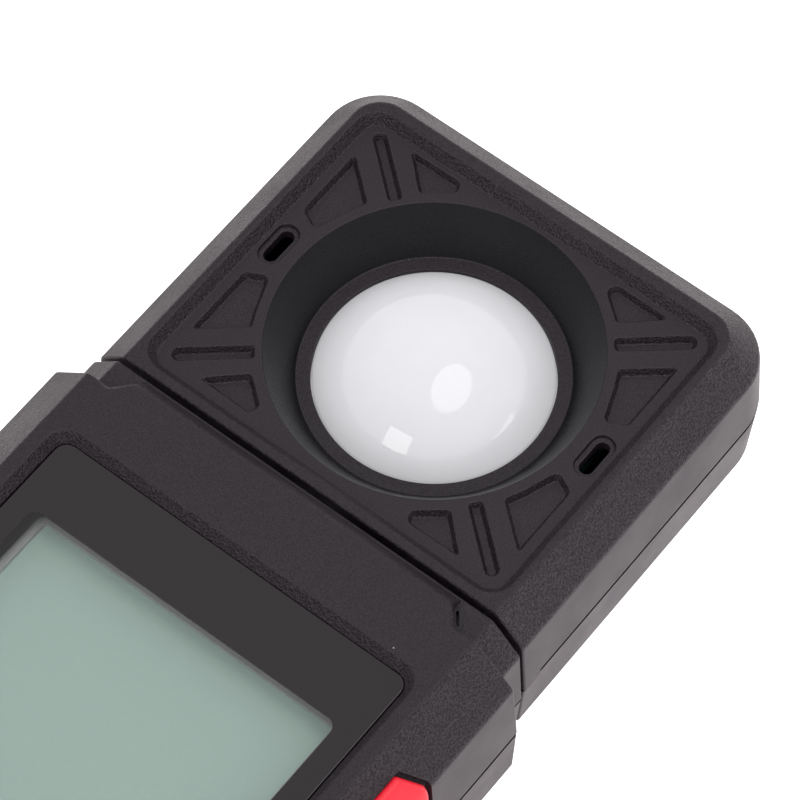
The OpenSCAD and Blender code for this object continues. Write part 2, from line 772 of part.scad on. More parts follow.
module side_grip_left() {
    mirror([1, 0, 0]) side_grip_right();
}

// ---- Display ----

module display_window() {
    color([0.6, 0.65, 0.68, 0.35])
        rounded_slab(window_half, window_y, 1.6, [ledge_z + 0.3, window_z]);
}

module window_gasket() {
    color([0.13, 0.12, 0.12]) difference() {
        rounded_slab(window_half - 0.15, window_y + [0.15, -0.15], 1.5, [ledge_z + 0.02, ledge_z + 0.28]);
        rounded_slab(view_w / 2, view_y, 0.9, [20, 30]);
    }
}

module lcd_frame() {
    color("darkgray") difference() {
        rounded_slab(lcd_frame_half, lcd_frame_y, 0.8, lcd_frame_z);
        rounded_slab(19.8, [lcd_y[0] + 0.4, lcd_y[1] - 0.4], 0.5, [10, 30]);
        block([-lcd_half - slip, lcd_y[0] - slip, 10], [lcd_half + slip, lcd_y[1] + slip, 23.65]);
    }
}

module lcd_panel() {
    color([0.62, 0.68, 0.65]) {
        block([-lcd_half, lcd_y[0], 22.05], [lcd_half, lcd_y[1], 22.85]);
        block([-lcd_half, lcd_y[0] + 2.2, 22.85], [lcd_half, lcd_y[1], 23.6]);
    }
}

module backlight_guide() {
    color("whitesmoke") block([-19.9, lcd_y[0] + 2.4, 18.7], [19.9, lcd_y[1] - 0.1, 22]);
}

module lcd_connector_strip() {
    color("pink") block([-19.4, lcd_y[0] + 0.2, 18.65], [19.4, lcd_y[0] + 2, 22]);
}

// ---- Electronics ----

module main_board() {
    color("darkgreen") difference() {
        block([-board_half, board_y[0], board_z], [board_half, board_y[1], board_z + board_t]);
        for (p = board_screws_at) translate([p.x, p.y, 0]) cylinder(r = 1.1, h = 30, $fn = 24);
    }
}

module board_chips() {
    // processor, converter, regulator and a row of small parts under the main board
    color([0.1, 0.1, 0.11]) {
        block([-2, 18, board_z - 1.6], [10, 30, board_z - 0.02]);
        block([-15, 22, board_z - 1.4], [-8, 27, board_z - 0.02]);
        block([-14, 10, board_z - 1.5], [-9, 15, board_z - 0.02]);
        for (i = [0:6]) block([-3 + i * 2.4, 12, board_z - 0.9], [-1.6 + i * 2.4, 14.4, board_z - 0.02]);
    }
}

module board_screws() {
    color("silver") for (p = board_screws_at) translate([p.x, p.y, board_z - 0.02])
        screw(1.9, 1.2, 0.75, 6);
}

module buzzer() {
    color([0.1, 0.1, 0.11]) difference() {
        translate([13, 38, board_z - 4.2]) cylinder(r = 6, h = 4.18);
        translate([13, 38, board_z - 6]) cylinder(r = 1, h = 3);
    }
}

module keypad_mat() {
    color("slategray") difference() {
        rounded_slab(20.6, [power_key_y - key_dy - 5.5, power_key_y + key_dy + 5.5], 2,
            [mat_z[0] + 0.03, mat_z[1]]);
        for (x = [-key_x, 0, key_x], y = [-key_dy, 0, key_dy]) if (x * y != 0 || x == y)
            translate([x, power_key_y + y, mat_z[0]]) cylinder(r = 2.4, h = 0.5);
    }
}

// ---- Keys ----

// A key: cap, retaining flange under the shell, and the stem that presses the mat
module oblong_button(x, y) {
    color([0.3, 0.3, 0.31]) translate([x, power_key_y + y, 0]) {
        rounded_prism(oblong_key_w / 2, [-oblong_key_len / 2, oblong_key_len / 2], 2.6,
            [[0, key_flange_z[0] + 0.5], [0, body_t + key_proud - 0.5], [0.5, body_t + key_proud]]);
        oblong_slab(0.9, key_flange_z - [0, 0.02]);
        translate([0, 0, key_bottom_z]) cylinder(r = 3, h = key_flange_z[0] - key_bottom_z + 0.5);
    }
}

module power_button() {
    color(signal_red) translate([0, power_key_y, 0]) {
        translate([0, 0, key_flange_z[0] + 0.5]) rotate_extrude() polygon([[0, 0], [power_key_r, 0],
            [power_key_r, body_t + key_proud - key_flange_z[0] - 1],
            [power_key_r - 0.5, body_t + key_proud - key_flange_z[0] - 0.5],
            [0, body_t + key_proud - key_flange_z[0] - 0.5]]);
        translate([0, 0, key_flange_z[0]])
            cylinder(r = power_key_r + 0.9, h = key_flange_z[1] - key_flange_z[0] - 0.02);
        translate([0, 0, key_bottom_z]) cylinder(r = 3, h = key_flange_z[0] - key_bottom_z + 0.5);
    }
}

module hold_button() { oblong_button(-key_x, key_dy); }
module unit_button() { oblong_button(key_x, key_dy); }
module max_min_button() { oblong_button(-key_x, -key_dy); }
module backlight_button() { oblong_button(key_x, -key_dy); }

// ---- Batteries ----

// A cell lying along Y, its flat end at the origin and its button end towards +Y
module cell() {
    rotate([-90, 0, 0]) {
        cylinder(r = cell_r, h = cell_len);
        cylinder(r = 1.9, h = cell_len + button_len);
    }
}

// Neighbouring cells lie head to tail
module battery_cells() {
    gap = contact_t + 0.1;
    reach = cell_len + button_len + gap;
    color("steelblue") {
        translate([0, bay_y[1] - reach, cell_z]) cell();
        for (x = [-cell_x, cell_x]) translate([x, bay_y[0] + reach, cell_z]) mirror([0, 1, 0]) cell();
    }
}

// A coil of round wire standing on z = 0: rings of points along a helix, joined by quads
module coil(coil_r, wire_r, turns, height) {
    steps = 18 * turns;
    sides = 6;
    points = [for (i = [0:steps], j = [0:sides - 1])
        let (a = 360 * turns * i / steps, b = 360 * j / sides, r = coil_r + wire_r * cos(b))
        [r * cos(a), r * sin(a), wire_r + (height - 2 * wire_r) * i / steps + wire_r * sin(b)]];
    quads = [for (i = [0:steps - 1], j = [0:sides - 1]) let (k = (j + 1) % sides)
        [i * sides + j, (i + 1) * sides + j, (i + 1) * sides + k, i * sides + k]];
    polyhedron(points, concat(quads, [[for (j = [0:sides - 1]) j],
        [for (j = [sides - 1:-1:0]) steps * sides + j]]));
}

module battery_springs() {
    spring_len = bay_y[1] - bay_y[0] - 2 * contact_t - cell_len - button_len - 0.3;
    color("silver") for (i = [-1:1])
        translate([i * cell_x, i == 0 ? bay_y[0] + contact_t + 0.1 : bay_y[1] - contact_t - 0.1, cell_z])
            rotate([i == 0 ? -90 : 90, 0, 0]) coil(3, 0.3, 3, spring_len);
}

module battery_contacts() {
    color("silver") for (end = [0, 1]) {
        low = end == 0 ? bay_y[0] + 0.05 : bay_y[1] - 0.05 - contact_t;
        block([-bay_half + 0.8, low, 3.4], [bay_half - 0.8, low + contact_t, 13]);
    }
}

head_front_shell();
head_rear_shell();
diffuser_dome();
dome_gasket();
filter_holder();
correction_filter();
photodiode();
sensor_board();
sensor_board_screws();
head_screws();
swivel_spindle();
stop_pin();
spring_washer();
spindle_circlip();
sensor_cable();
body_front_shell();
body_rear_shell();
swivel_bush();
display_window();
window_gasket();
lcd_frame();
lcd_panel();
backlight_guide();
lcd_connector_strip();
main_board();
board_chips();
board_screws();
board_cable();
keypad_mat();
buzzer();
side_grip_left();
side_grip_right();
battery_springs();
battery_contacts();
battery_cells();
housing_screws();
tripod_insert();
battery_door();
power_button();
hold_button();
unit_button();
max_min_button();
backlight_button();
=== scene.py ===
"""Looks of the handheld light meter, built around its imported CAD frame. Shapes are in millimetres."""

import json
import math

import bmesh
import bpy
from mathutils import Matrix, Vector
from mathutils.geometry import delaunay_2d_cdt

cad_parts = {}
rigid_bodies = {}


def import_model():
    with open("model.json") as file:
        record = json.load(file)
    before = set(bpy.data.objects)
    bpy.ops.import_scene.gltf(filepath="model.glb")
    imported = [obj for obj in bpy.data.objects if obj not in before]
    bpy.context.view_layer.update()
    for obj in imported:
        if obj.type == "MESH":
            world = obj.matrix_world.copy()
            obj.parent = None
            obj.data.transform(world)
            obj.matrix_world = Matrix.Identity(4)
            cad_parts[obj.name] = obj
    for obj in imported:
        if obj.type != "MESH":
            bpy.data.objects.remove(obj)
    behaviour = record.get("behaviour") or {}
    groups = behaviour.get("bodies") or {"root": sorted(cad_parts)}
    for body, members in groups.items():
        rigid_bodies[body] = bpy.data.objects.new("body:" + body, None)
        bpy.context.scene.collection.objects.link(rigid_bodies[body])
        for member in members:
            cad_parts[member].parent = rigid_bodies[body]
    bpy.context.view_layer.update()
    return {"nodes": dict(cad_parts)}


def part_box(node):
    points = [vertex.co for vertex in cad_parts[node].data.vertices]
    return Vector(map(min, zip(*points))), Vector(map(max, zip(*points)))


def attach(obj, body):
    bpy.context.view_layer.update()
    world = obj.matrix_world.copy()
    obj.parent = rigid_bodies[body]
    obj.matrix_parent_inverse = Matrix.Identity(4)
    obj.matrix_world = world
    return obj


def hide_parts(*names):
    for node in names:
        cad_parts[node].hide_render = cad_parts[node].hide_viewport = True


for leftover in list(bpy.data.objects):
    bpy.data.objects.remove(leftover)
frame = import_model()
MM = 0.001


# ---- Sizes and places ----

def box_mm(node):
    low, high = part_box(node)
    return low / MM, high / MM


HEAD_LOW, HEAD_HIGH = box_mm("head_front_shell")
BODY_LOW, BODY_HIGH = box_mm("body_front_shell")
WINDOW_LOW, WINDOW_HIGH = box_mm("display_window")
DOME_LOW, DOME_HIGH = box_mm("diffuser_dome")
KEYS = ("power_button", "hold_button", "unit_button", "max_min_button", "backlight_button")

DISH_Y = (DOME_LOW.y + DOME_HIGH.y) / 2
HEAD_HALF = HEAD_HIGH.x
HEAD_TIP = HEAD_HIGH.y
HEAD_TOP = HEAD_HIGH.z
HEAD_CORNER = 7.8
BODY_HALF = 32.2
BODY_TIP = BODY_LOW.y
BODY_TOP = BODY_HIGH.z
BODY_CORNER = 14
JOINT_Y = HEAD_LOW.y
NECK_FACE = BODY_HIGH.y
NECK_HALF = HEAD_HALF + 0.2
SHOULDER_Y = 61.3
SHOULDER_LEAN = 0.5
WALL_Y = 56.0               # the end wall of the body's cavity
INNER_WALL = 2.004          # how far in from the outline the shells' inner walls stand at the seam
SIDE_LEAN = 0.06            # how far the head's sides lean in over each millimetre of height

# half the seams' width, in the CAD and here; the rear shells' edges lie a little lower still
CAD_SEAM_HALF = 0.075
SEAM_HALF = 0.15
REAR_DROP = 0.3
HEAD_SEAM = 13.6 + SEAM_HALF
JOINT_SEAM = BODY_LOW.z - CAD_SEAM_HALF + SEAM_HALF

# where the bevels start and end, as (inset, height), round the head's front and back
HEAD_BEVEL = ((0.5, 22), (4.2, HEAD_TOP))
HEAD_BACK_BEVEL = ((0.61, 4.5), (4.0, 2.01))
BODY_BEVEL = ((0.48, 22.85), (5.63, BODY_TOP))
BODY_BACK_BEVEL = ((0.36, 4), (4.3, 0.01))

# rounded edges of the end faces, and of the step beside the ramp
EDGE_ROUND = 0.28
STEP_ROUND = 0.65
EDGE_STEPS = 4
RAMP_END = NECK_FACE - EDGE_ROUND

# the stretch of the body's sides that holds the grips, and the grips' outline on its section
GRIP_ZONE = (-41.0, 49.0)
GRIP_TOP_X = 28.9
GRIP_CORNER_X = 31.2
GRIP_CHAMFER = 1.9

OBLONG_KEY_HALF = (8.0, 4.3)
OBLONG_KEY_CORNER = 2.6
ROUND_KEY_RADIUS = 7.5

# the rear shells' outer form lies this far inside the CAD's, and its corners have this many steps
CUT_IN = 0.05
CUT_STEPS = 40
FLAT_AREA = 12 * MM * MM    # flat stretches larger than this keep their own normals


# ---- Shape tools ----

def unit(value):
    """A value held between 0 and 1."""
    return min(max(value, 0), 1)


def flat(points):
    """The plan of some points."""
    return [(p[0], p[1]) for p in points]


def mirrored(row):
    return [(-x, *rest) for x, *rest in row]


def whole(row):
    """A row of points and its mirror image, as one path from side to side."""
    return row + mirrored(row)[::-1]


def inside(p, loop):
    """Whether a point in the plane lies inside a closed loop."""
    hit = False
    for (ax, ay), (bx, by) in zip(loop, loop[1:] + loop[:1]):
        if (ay > p[1]) != (by > p[1]) and p[0] < (bx - ax) * (p[1] - ay) / (by - ay) + ax:
            hit = not hit
    return hit


class Shape:
    """Faces gathered from grids and flat fills; points that coincide become one."""

    def __init__(self):
        self.points, self.faces, self.skins, self.index = [], [], [], {}

    def point(self, p):
        key = (round(p[0], 3), round(p[1], 3), round(p[2], 3))
        if key not in self.index:
            self.index[key] = len(self.points)
            self.points.append(tuple(p))
        return self.index[key]

    def face(self, corners, skin=0):
        """One face; its skin is the number of its material."""
        ids = list(dict.fromkeys(self.point(p) for p in corners))
        if len(ids) > 2:
            self.faces.append(ids)
            self.skins.append(skin)

    def grid(self, rows, closed=False, skip=(), skin=0):
        for a, b in zip(rows, rows[1:]):
            n = len(a)
            for i in range(n if closed else n - 1):
                if i not in skip:
                    j = (i + 1) % n
                    self.face((a[i], a[j], b[j], b[i]), skin)

    def tube(self, rows, skin=0):
        """A grid of closed loops."""
        self.grid(rows, True, skin=skin)

    def fill(self, outline, holes=(), place=None, cuts=(), skin=0):
        """Triangles over a flat outline less its holes; place turns a flat point into a real one."""
        verts, edges = [], []
        for loop in [outline, *holes]:
            base, n = len(verts), len(loop)
            verts += [Vector(p) for p in loop]
            edges += [(base + i, base + (i + 1) % n) for i in range(n)]
        for a, b in cuts:
            edges.append((len(verts), len(verts) + 1))
            verts += [Vector(a), Vector(b)]
        points, _, faces, *_ = delaunay_2d_cdt(verts, edges, [], 0, 1e-5)
        for f in faces:
            middle = sum((points[i] for i in f), Vector((0, 0))) / len(f)
            if inside(middle, outline) and not any(inside(middle, h) for h in holes):
                self.face([place(*points[i]) for i in f], skin)

    def lid(self, outline, z, holes=(), skin=0):
        """A flat fill at one height."""
        self.fill(flat(outline), [flat(h) for h in holes], lambda x, y: (x, y, z), skin=skin)

    def wall(self, outline, y):
        """A flat fill across the meter, at one y; the outline's points end in their height."""
        self.fill([(p[0], p[-1]) for p in outline], place=lambda x, z: (x, y, z))


def corner_arc(a, b, c, steps):
    """The corner b between a and c, as an arc where b has a radius."""
    here = Vector(b[:2])
    if len(b) < 3 or b[2] == 0:
        return [tuple(here)]
    u = (Vector(a[:2]) - here).normalized()
    v = (Vector(c[:2]) - here).normalized()
    half = u.angle(v) / 2
    centre = here + (u + v).normalized() * (b[2] / math.sin(half))
    start = here + u * (b[2] / math.tan(half)) - centre
    end = here + v * (b[2] / math.tan(half)) - centre
    turn = math.atan2(start.x * end.y - start.y * end.x, start.dot(end))
    a0 = math.atan2(start.y, start.x)
    return [(centre.x + b[2] * math.cos(a0 + turn * i / steps),
             centre.y + b[2] * math.sin(a0 + turn * i / steps)) for i in range(steps + 1)]


def fillet(path, steps=4):
    """A path in the plane; a corner given as (a, b, radius) becomes an arc."""
    out = [tuple(path[0][:2])]
    for a, b, c in zip(path, path[1:], path[2:]):
        out += corner_arc(a, b, c, steps)
    return out + [tuple(path[-1][:2])]


def rounded_loop(corners, steps=6):
    """A closed loop whose corners are (x, y, radius)."""
    n = len(corners)
    return [p for i in range(n)
            for p in corner_arc(corners[i - 1], corners[i], corners[(i + 1) % n], steps)]


def rounded_rect(half_w, low, high, r, steps=8):
    corners = [(half_w, low), (half_w, high), (-half_w, high), (-half_w, low)]
    return rounded_loop([(x, y, r) for x, y in corners], steps)


def inset_corners(corners, d):
    """A counter-clockwise outline moved in by d."""
    out = []
    for i, b in enumerate(corners):
        a, c = corners[i - 1], corners[(i + 1) % len(corners)]
        u = Vector((b[0] - a[0], b[1] - a[1])).normalized()
        v = Vector((c[0] - b[0], c[1] - b[1])).normalized()
        nu, nv = Vector((-u.y, u.x)), Vector((-v.y, v.x))
        p = Vector(b[:2]) + (nu + nv) * d / (1 + nu.dot(nv))
        out.append((p.x, p.y, max(b[2] - d, 0.06)))
    return out


def circle(r, steps=96):
    angles = [2 * math.pi * i / steps for i in range(steps)]
    return [(r * math.cos(a), r * math.sin(a)) for a in angles]


def shifted(loop, centre):
    return [(x + centre[0], y + centre[1]) for x, y in loop]


def at_z(loop, z, centre=(0, 0)):
    return [(x, y, z) for x, y in shifted(loop, centre)]


def rect_loops(half_w, low, high, r, profile, centre=(0, 0), steps=4):
    """Rounded rectangles stacked along a path of insets and heights, which may have radii."""
    return [at_z(rounded_rect(half_w - d, low + d, high - d, r - d), z, centre)
            for d, z in fillet(profile, steps)]


def u_path(half_w, ends, tip, r, inset, steps=12):
    """Plan points from the open end along the left side, round the closed end and back."""
    s = 1 if tip > ends[0] else -1
    left = [(-(half_w - inset), y) for y in ends]
    for i in range(steps + 1):
        a = math.pi / 2 * i / steps
        x = -(half_w - r) - (r - inset) * math.cos(a)
        left.append((x, tip - s * r + s * (r - inset) * math.sin(a)))
    return whole(left)


def u_loops(half_w, ends, tip, r, profile, steps=12):
    """The plan paths of a profile of insets and heights, round three sides of a shell."""
    return [at_z(u_path(half_w, ends, tip, r, inset, steps), z) for inset, z in profile]


def inward_normals(points, centre=(0, 16)):
    """Unit normals of a path in the plane, all pointing towards the centre's side."""
    out = []
    for i, p in enumerate(points):
        a, b = points[max(i - 1, 0)], points[min(i + 1, len(points) - 1)]
        n = Vector((-(b[1] - a[1]), b[0] - a[0])).normalized()
        if n.dot(Vector(centre) - Vector(p)) < 0:
            n = -n
        out.append(n)
    return out


def left_side(half_w, profile):
    """A profile of insets and heights on the left side of the section."""
    return [(-(half_w - inset), z) for inset, z in profile]


def edge_turn(j, r=EDGE_ROUND):
    """The j-th step of a rounded edge, as (back from the end face, in from the surface)."""
    a = math.pi / 2 * j / EDGE_STEPS
    return r * (1 - math.sin(a)), r * (1 - math.cos(a))


def end_row(points, normals, face_y, j, ledge=1, facing=1):
    """One side's section at a rounded end; the first points, of the seam's ledge, stay put."""
    back, e = edge_turn(j)
    seam_z = points[ledge][1]
    row = []
    for k, ((x, z), n) in enumerate(zip(points, normals)):
        if k >= ledge:
            at_seam = abs(z - seam_z) < 0.3
            x += math.copysign(e, -x) if at_seam else n.x * e
            z += 0 if at_seam else n.y * e
        row.append((x, face_y(z) - facing * back, z))
    return row


def front_profile(seam_z, bevel_start, bevel_end, last_inset):
    """Insets and heights up a front shell: the seam's ledge, the wall, the bevel, a strip of the top."""
    return fillet([(1.2, seam_z), (0.004, seam_z, 0.06), (*bevel_start, 1.2), (*bevel_end, 0.6),
                   (last_inset, bevel_end[1])])


def rear_profile(ledge_z, bevel_start, bevel_end):
    """Insets and heights down a rear shell: its lip, the seam's ledge, the wall, the bevel, the back."""
    lip = 0.93
    return fillet([(lip, 16.5), (lip, ledge_z), (0, ledge_z, 0.06), (*bevel_start, 1.0),
                   (*bevel_end, 0.7), (bevel_end[0] + 0.7, bevel_end[1])])


def plain_mesh(name, shape):
    mesh = bpy.data.meshes.new(name)
    mesh.from_pydata([tuple(c * MM for c in p) for p in shape.points], [], shape.faces)
    return mesh


def place_object(name, data):
    piece = bpy.data.objects.new(name, data)
    bpy.context.scene.collection.objects.link(piece)
    return piece


def retouch(mesh, *steps):
    """Runs steps, each of which takes a bmesh, on a mesh."""
    bm = bmesh.new()
    bm.from_mesh(mesh)
    for step in steps:
        step(bm)
    bm.to_mesh(mesh)
    bm.free()


def welded(distance_mm):
    return lambda bm: bmesh.ops.remove_doubles(bm, verts=bm.verts, dist=distance_mm * MM)


def without_slivers(bm):
    bmesh.ops.dissolve_degenerate(bm, edges=bm.edges, dist=0.0005 * MM)


def faced_outwards(bm):
    bmesh.ops.recalc_face_normals(bm, faces=bm.faces)


def triangulated(bm):
    bmesh.ops.triangulate(bm, faces=bm.faces)


def stand_for(piece, node, body):
    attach(piece, body)
    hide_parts(node)


def paint(mesh, materials):
    mesh.materials.clear()
    for material in materials:
        mesh.materials.append(material)


def build(shape, name, node, body, materials, sharp=38):
    """A shape as a piece of the meter, which stands for a CAD node."""
    mesh = plain_mesh(name, shape)
    paint(mesh, materials)
    mesh.polygons.foreach_set("material_index", shape.skins)
    retouch(mesh, welded(0.002), without_slivers, faced_outwards)
    for polygon in mesh.polygons:
        polygon.use_smooth = True
    mesh.set_sharp_from_angle(angle=math.radians(sharp))
    piece = place_object(name, mesh)
    weighted = piece.modifiers.new("even_normals", "WEIGHTED_NORMAL")
    weighted.keep_sharp = True
    weighted.weight = 70
    stand_for(piece, node, body)


# ---- Materials ----

def toned(colour, factor=1.0, lift=0.0):
    """A colour made lighter or darker, as a shader takes it."""
    return (*[min(c * factor + lift, 1) for c in colour], 1)


class Recipe:
    """A material with a Principled shader, and short names for the nodes that feed it."""

    def __init__(self, name, colour, roughness):
        self.material = bpy.data.materials.new(name)
        self.material.use_nodes = True
        self.tree = self.material.node_tree
        self.shader = self.tree.nodes["Principled BSDF"]
        self.shade({"Base Color": toned(colour), "Roughness": roughness})

    def feed(self, node, inputs):
        """Sets a node's inputs; one given as another node's socket is linked."""
        for key, value in inputs.items():
            if isinstance(value, bpy.types.NodeSocket):
                self.tree.links.new(value, node.inputs[key])
            else:
                node.inputs[key].default_value = value

    def shade(self, inputs):
        self.feed(self.shader, inputs)

    def surface(self, share, first, second):
        """Makes the surface a mix of two shaders."""
        mix = self.node("MixShader", {0: share, 1: first[0], 2: second[0]})
        self.feed(self.tree.nodes["Material Output"], {"Surface": mix[0]})

    def node(self, kind, inputs=None, **settings):
        """Adds a node and returns its outputs."""
        made = self.tree.nodes.new("ShaderNode" + kind)
        for key, value in settings.items():
            setattr(made, key, value)
        self.feed(made, inputs or {})
        return made.outputs

    def coords(self):
        return self.node("TexCoord")["Object"]

    def facing(self, output):
        return self.node("NewGeometry")[output]

    def noise(self, coords, size_mm, detail=2.0, roughness=0.5):
        return self.node("TexNoise", {"Vector": coords, "Scale": 1 / (size_mm * MM), "Detail": detail,
                                      "Roughness": roughness})["Fac"]

    def ramp(self, value, low, high, out_low=0.0, out_high=1.0):
        """A value's smooth rise from out_low, where it is low, to out_high, where it is high."""
        return self.node("MapRange", {"Value": value, "From Min": low, "From Max": high,
                                      "To Min": out_low, "To Max": out_high},
                         interpolation_type="SMOOTHSTEP")["Result"]

    def spread(self, noise, low=0.0, high=1.0):
        """A noise, most of which lies between 0.3 and 0.7, spread from low to high."""
        return self.ramp(noise, 0.3, 0.7, low, high)

    def sum(self, a, b):
        return self.calculate("ADD", a, b)

    def product(self, a, b):
        return self.calculate("MULTIPLY", a, b)

    def calculate(self, operation, a, b):
        return self.node("Math", {0: a, 1: b}, operation=operation)[0]

    def tones(self, share, first, second):
        """Two tones; share says where the second shows."""
        return self.node("MixRGB", {"Fac": share, "Color1": first, "Color2": second})[0]

    def bump(self, height, distance_mm, strength=1.0):
        return self.node("Bump", {"Height": height, "Strength": strength,
                                  "Distance": distance_mm * MM})[0]


def slope_grain(mix, coords, size_mm, depth):
    """A spark-eroded grain that only the slopes have: its height, and how it changes the gleam."""
    up = mix.node("SeparateXYZ", {"Vector": mix.facing("True Normal")})["Z"]
    slope = mix.product(mix.ramp(up, 0.96, 0.85), mix.ramp(up, 0.2, 0.5))
    cell = mix.noise(coords, size_mm, 2, 0.55)
    height = mix.product(mix.product(cell, depth), slope)
    return height, mix.product(mix.ramp(cell, 0.34, 0.66, -0.35, 0.45), slope)


def dust(mix, coords, tint, amount):
    """Fine pale specks, a few millimetres apart, over a tint."""
    dots = mix.node("TexVoronoi", {"Vector": coords, "Scale": 1 / (4.2 * MM)})
    near = mix.ramp(dots["Distance"], 0.03, 0.012)
    value = mix.node("SeparateColor", {0: dots["Color"]})[0]
    share = mix.product(mix.product(near, mix.ramp(value, 0.72, 0.74)), amount)
    return mix.tones(share, tint, (0.5, 0.48, 0.45, 1))


def worn_and_highlit_edges(mix, patch, amount):
    """Where sharp edges are worn and carry a painted highlight, in patches."""
    rounded = mix.node("Bevel", {"Radius": 0.16 * MM}, samples=2)[0]
    turn = mix.node("VectorMath", {0: rounded, 1: mix.facing("Normal")},
                    operation="DOT_PRODUCT")["Value"]
    return mix.product(mix.product(mix.ramp(turn, 0.985, 0.9), mix.ramp(patch, 0.42, 0.6)), amount)


def moulded(name, colour, roughness, fine_mm=0.16, fine=0.012, coarse_mm=0.34, coarse=0.0, specks=0.0,
            specular=0.5, mottle=0.2, wear_and_highlight=0.0):
    """Moulded plastic: a fine grain all over, and a coarser spark-eroded one on its slopes."""
    mix = Recipe(name, colour, roughness)
    coords = mix.coords()
    small = mix.noise(coords, fine_mm)
    height = mix.product(small, fine)
    gleam = mix.spread(small, specular * (1 - mottle), specular * (1 + mottle))
    if coarse:
        big, pits = slope_grain(mix, coords, coarse_mm, coarse)
        height = mix.sum(height, big)
        gleam = mix.product(gleam, mix.sum(1.0, pits))
    patch = mix.noise(coords, 9, 3, 0.6)
    rough = mix.sum(mix.spread(patch, roughness - 0.04, roughness + 0.04),
                    mix.spread(small, -0.03, 0.03))
    tint = mix.tones(mix.ramp(small, 0.25, 0.75), toned(colour, 1 - mottle), toned(colour, 1 + mottle))
    if specks:
        tint = dust(mix, coords, tint, specks)
    # lighter, glossier edges in patches: partly worn plastic, partly a painted highlight along the edges
    if wear_and_highlight:
        wear_and_highlight_mask = worn_and_highlit_edges(mix, patch, wear_and_highlight)
        tint = mix.tones(wear_and_highlight_mask, tint, toned(colour, 2.5, 0.01))
        gleam = mix.product(gleam, mix.sum(1.0, wear_and_highlight_mask))
    mix.shade({"Base Color": tint, "Roughness": rough, "Specular IOR Level": gleam,
               "Normal": mix.bump(height, 1)})
    return mix.material


def finish(name, colour, roughness, metallic=0.0, grain_mm=0.5, bump_mm=0.01, worn=1.25,
           stretch=(1, 1, 1)):
    """A plain finish for inner pieces: a grain, worn blotches and a slightly lighter worn tone."""
    mix = Recipe(name, colour, roughness)
    coords = mix.node("VectorMath", {0: mix.coords(), 1: stretch}, operation="MULTIPLY")[0]
    small = mix.noise(coords, grain_mm, 3)
    blotch = mix.noise(coords, 5, 3, 0.6)
    tint = mix.tones(mix.spread(small), toned(colour, 0.85), toned(colour))
    tint = mix.tones(mix.ramp(blotch, 0.52, 0.75), tint, toned(colour, worn))
    rough = mix.sum(mix.spread(blotch, roughness - 0.06, roughness + 0.08),
                    mix.spread(small, -0.04, 0.04))
    mix.shade({"Base Color": tint, "Roughness": rough, "Metallic": metallic,
               "Normal": mix.bump(small, bump_mm)})
    return mix.material


def striped(name, along, pitch_mm, first, second, roughness):
    """Two tones in bands along one axis, with a grain in each."""
    mix = Recipe(name, first, roughness)
    coords = mix.coords()
    place = mix.node("SeparateXYZ", {"Vector": coords})[along]
    place = mix.sum(place, mix.product(mix.noise(coords, 2), 0.05 * MM))
    band = mix.calculate("PINGPONG", mix.calculate("DIVIDE", place, pitch_mm * MM), 0.5)
    tint = mix.tones(mix.ramp(band, 0.22, 0.28), toned(first), toned(second))
    grain = mix.noise(coords, 0.3, 3)
    tint = mix.tones(mix.spread(grain, 0, 0.25), tint, (0.02, 0.02, 0.02, 1))
    rough = mix.spread(grain, roughness - 0.05, roughness + 0.08)
    mix.shade({"Base Color": tint, "Roughness": rough, "Normal": mix.bump(grain, 0.02)})
    return mix.material


def solder_mask():
    """A green board: copper tracks show as slightly raised, lighter lines under the mask."""
    mix = Recipe("green_board", (0.01, 0.11, 0.05), 0.35)
    coords = mix.coords()
    cells = mix.node("TexBrick", {"Vector": coords, "Scale": 1 / (2.6 * MM), "Mortar Size": 0.06,
                                  "Mortar Smooth": 0.2, "Color1": (0, 0, 0, 1),
                                  "Color2": (0, 0, 0, 1), "Mortar": (1, 1, 1, 1)})
    track = mix.product(cells[0], mix.ramp(mix.noise(coords, 4), 0.45, 0.5))
    blotch = mix.noise(coords, 6, 3)
    tint = mix.tones(mix.spread(blotch), (0.008, 0.09, 0.04, 1), (0.012, 0.12, 0.055, 1))
    tint = mix.tones(track, tint, (0.03, 0.24, 0.1, 1))
    mix.shade({"Base Color": tint, "Roughness": mix.spread(blotch, 0.28, 0.42),
               "Normal": mix.bump(track, 0.03)})
    return mix.material


def glassy(name, roughness):
    """Clear moulded plastic: what is behind shows through, under a polished reflection."""
    mix = Recipe(name, (1, 1, 1), roughness)
    mix.tree.nodes.remove(mix.shader)
    coords = mix.coords()
    wave = mix.bump(mix.noise(coords, 14), 0.02, 0.25)
    smear = mix.ramp(mix.noise(coords, 6, 4, 0.65), 0.35, 0.75, roughness, roughness + 0.03)
    clear = mix.node("BsdfTransparent", {"Color": (0.93, 0.93, 0.93, 1)})
    shine = mix.node("BsdfGlossy", {"Color": (1, 1, 1, 1), "Roughness": smear, "Normal": wave})
    fresnel = mix.node("Fresnel", {"IOR": 1.49, "Normal": wave})[0]
    # a ray leaving the plate goes straight through, because it wasn't bent on its way in
    entering = mix.calculate("SUBTRACT", 1.0, mix.facing("Backfacing"))
    mix.surface(mix.product(fresnel, entering), clear, shine)
    return mix.material


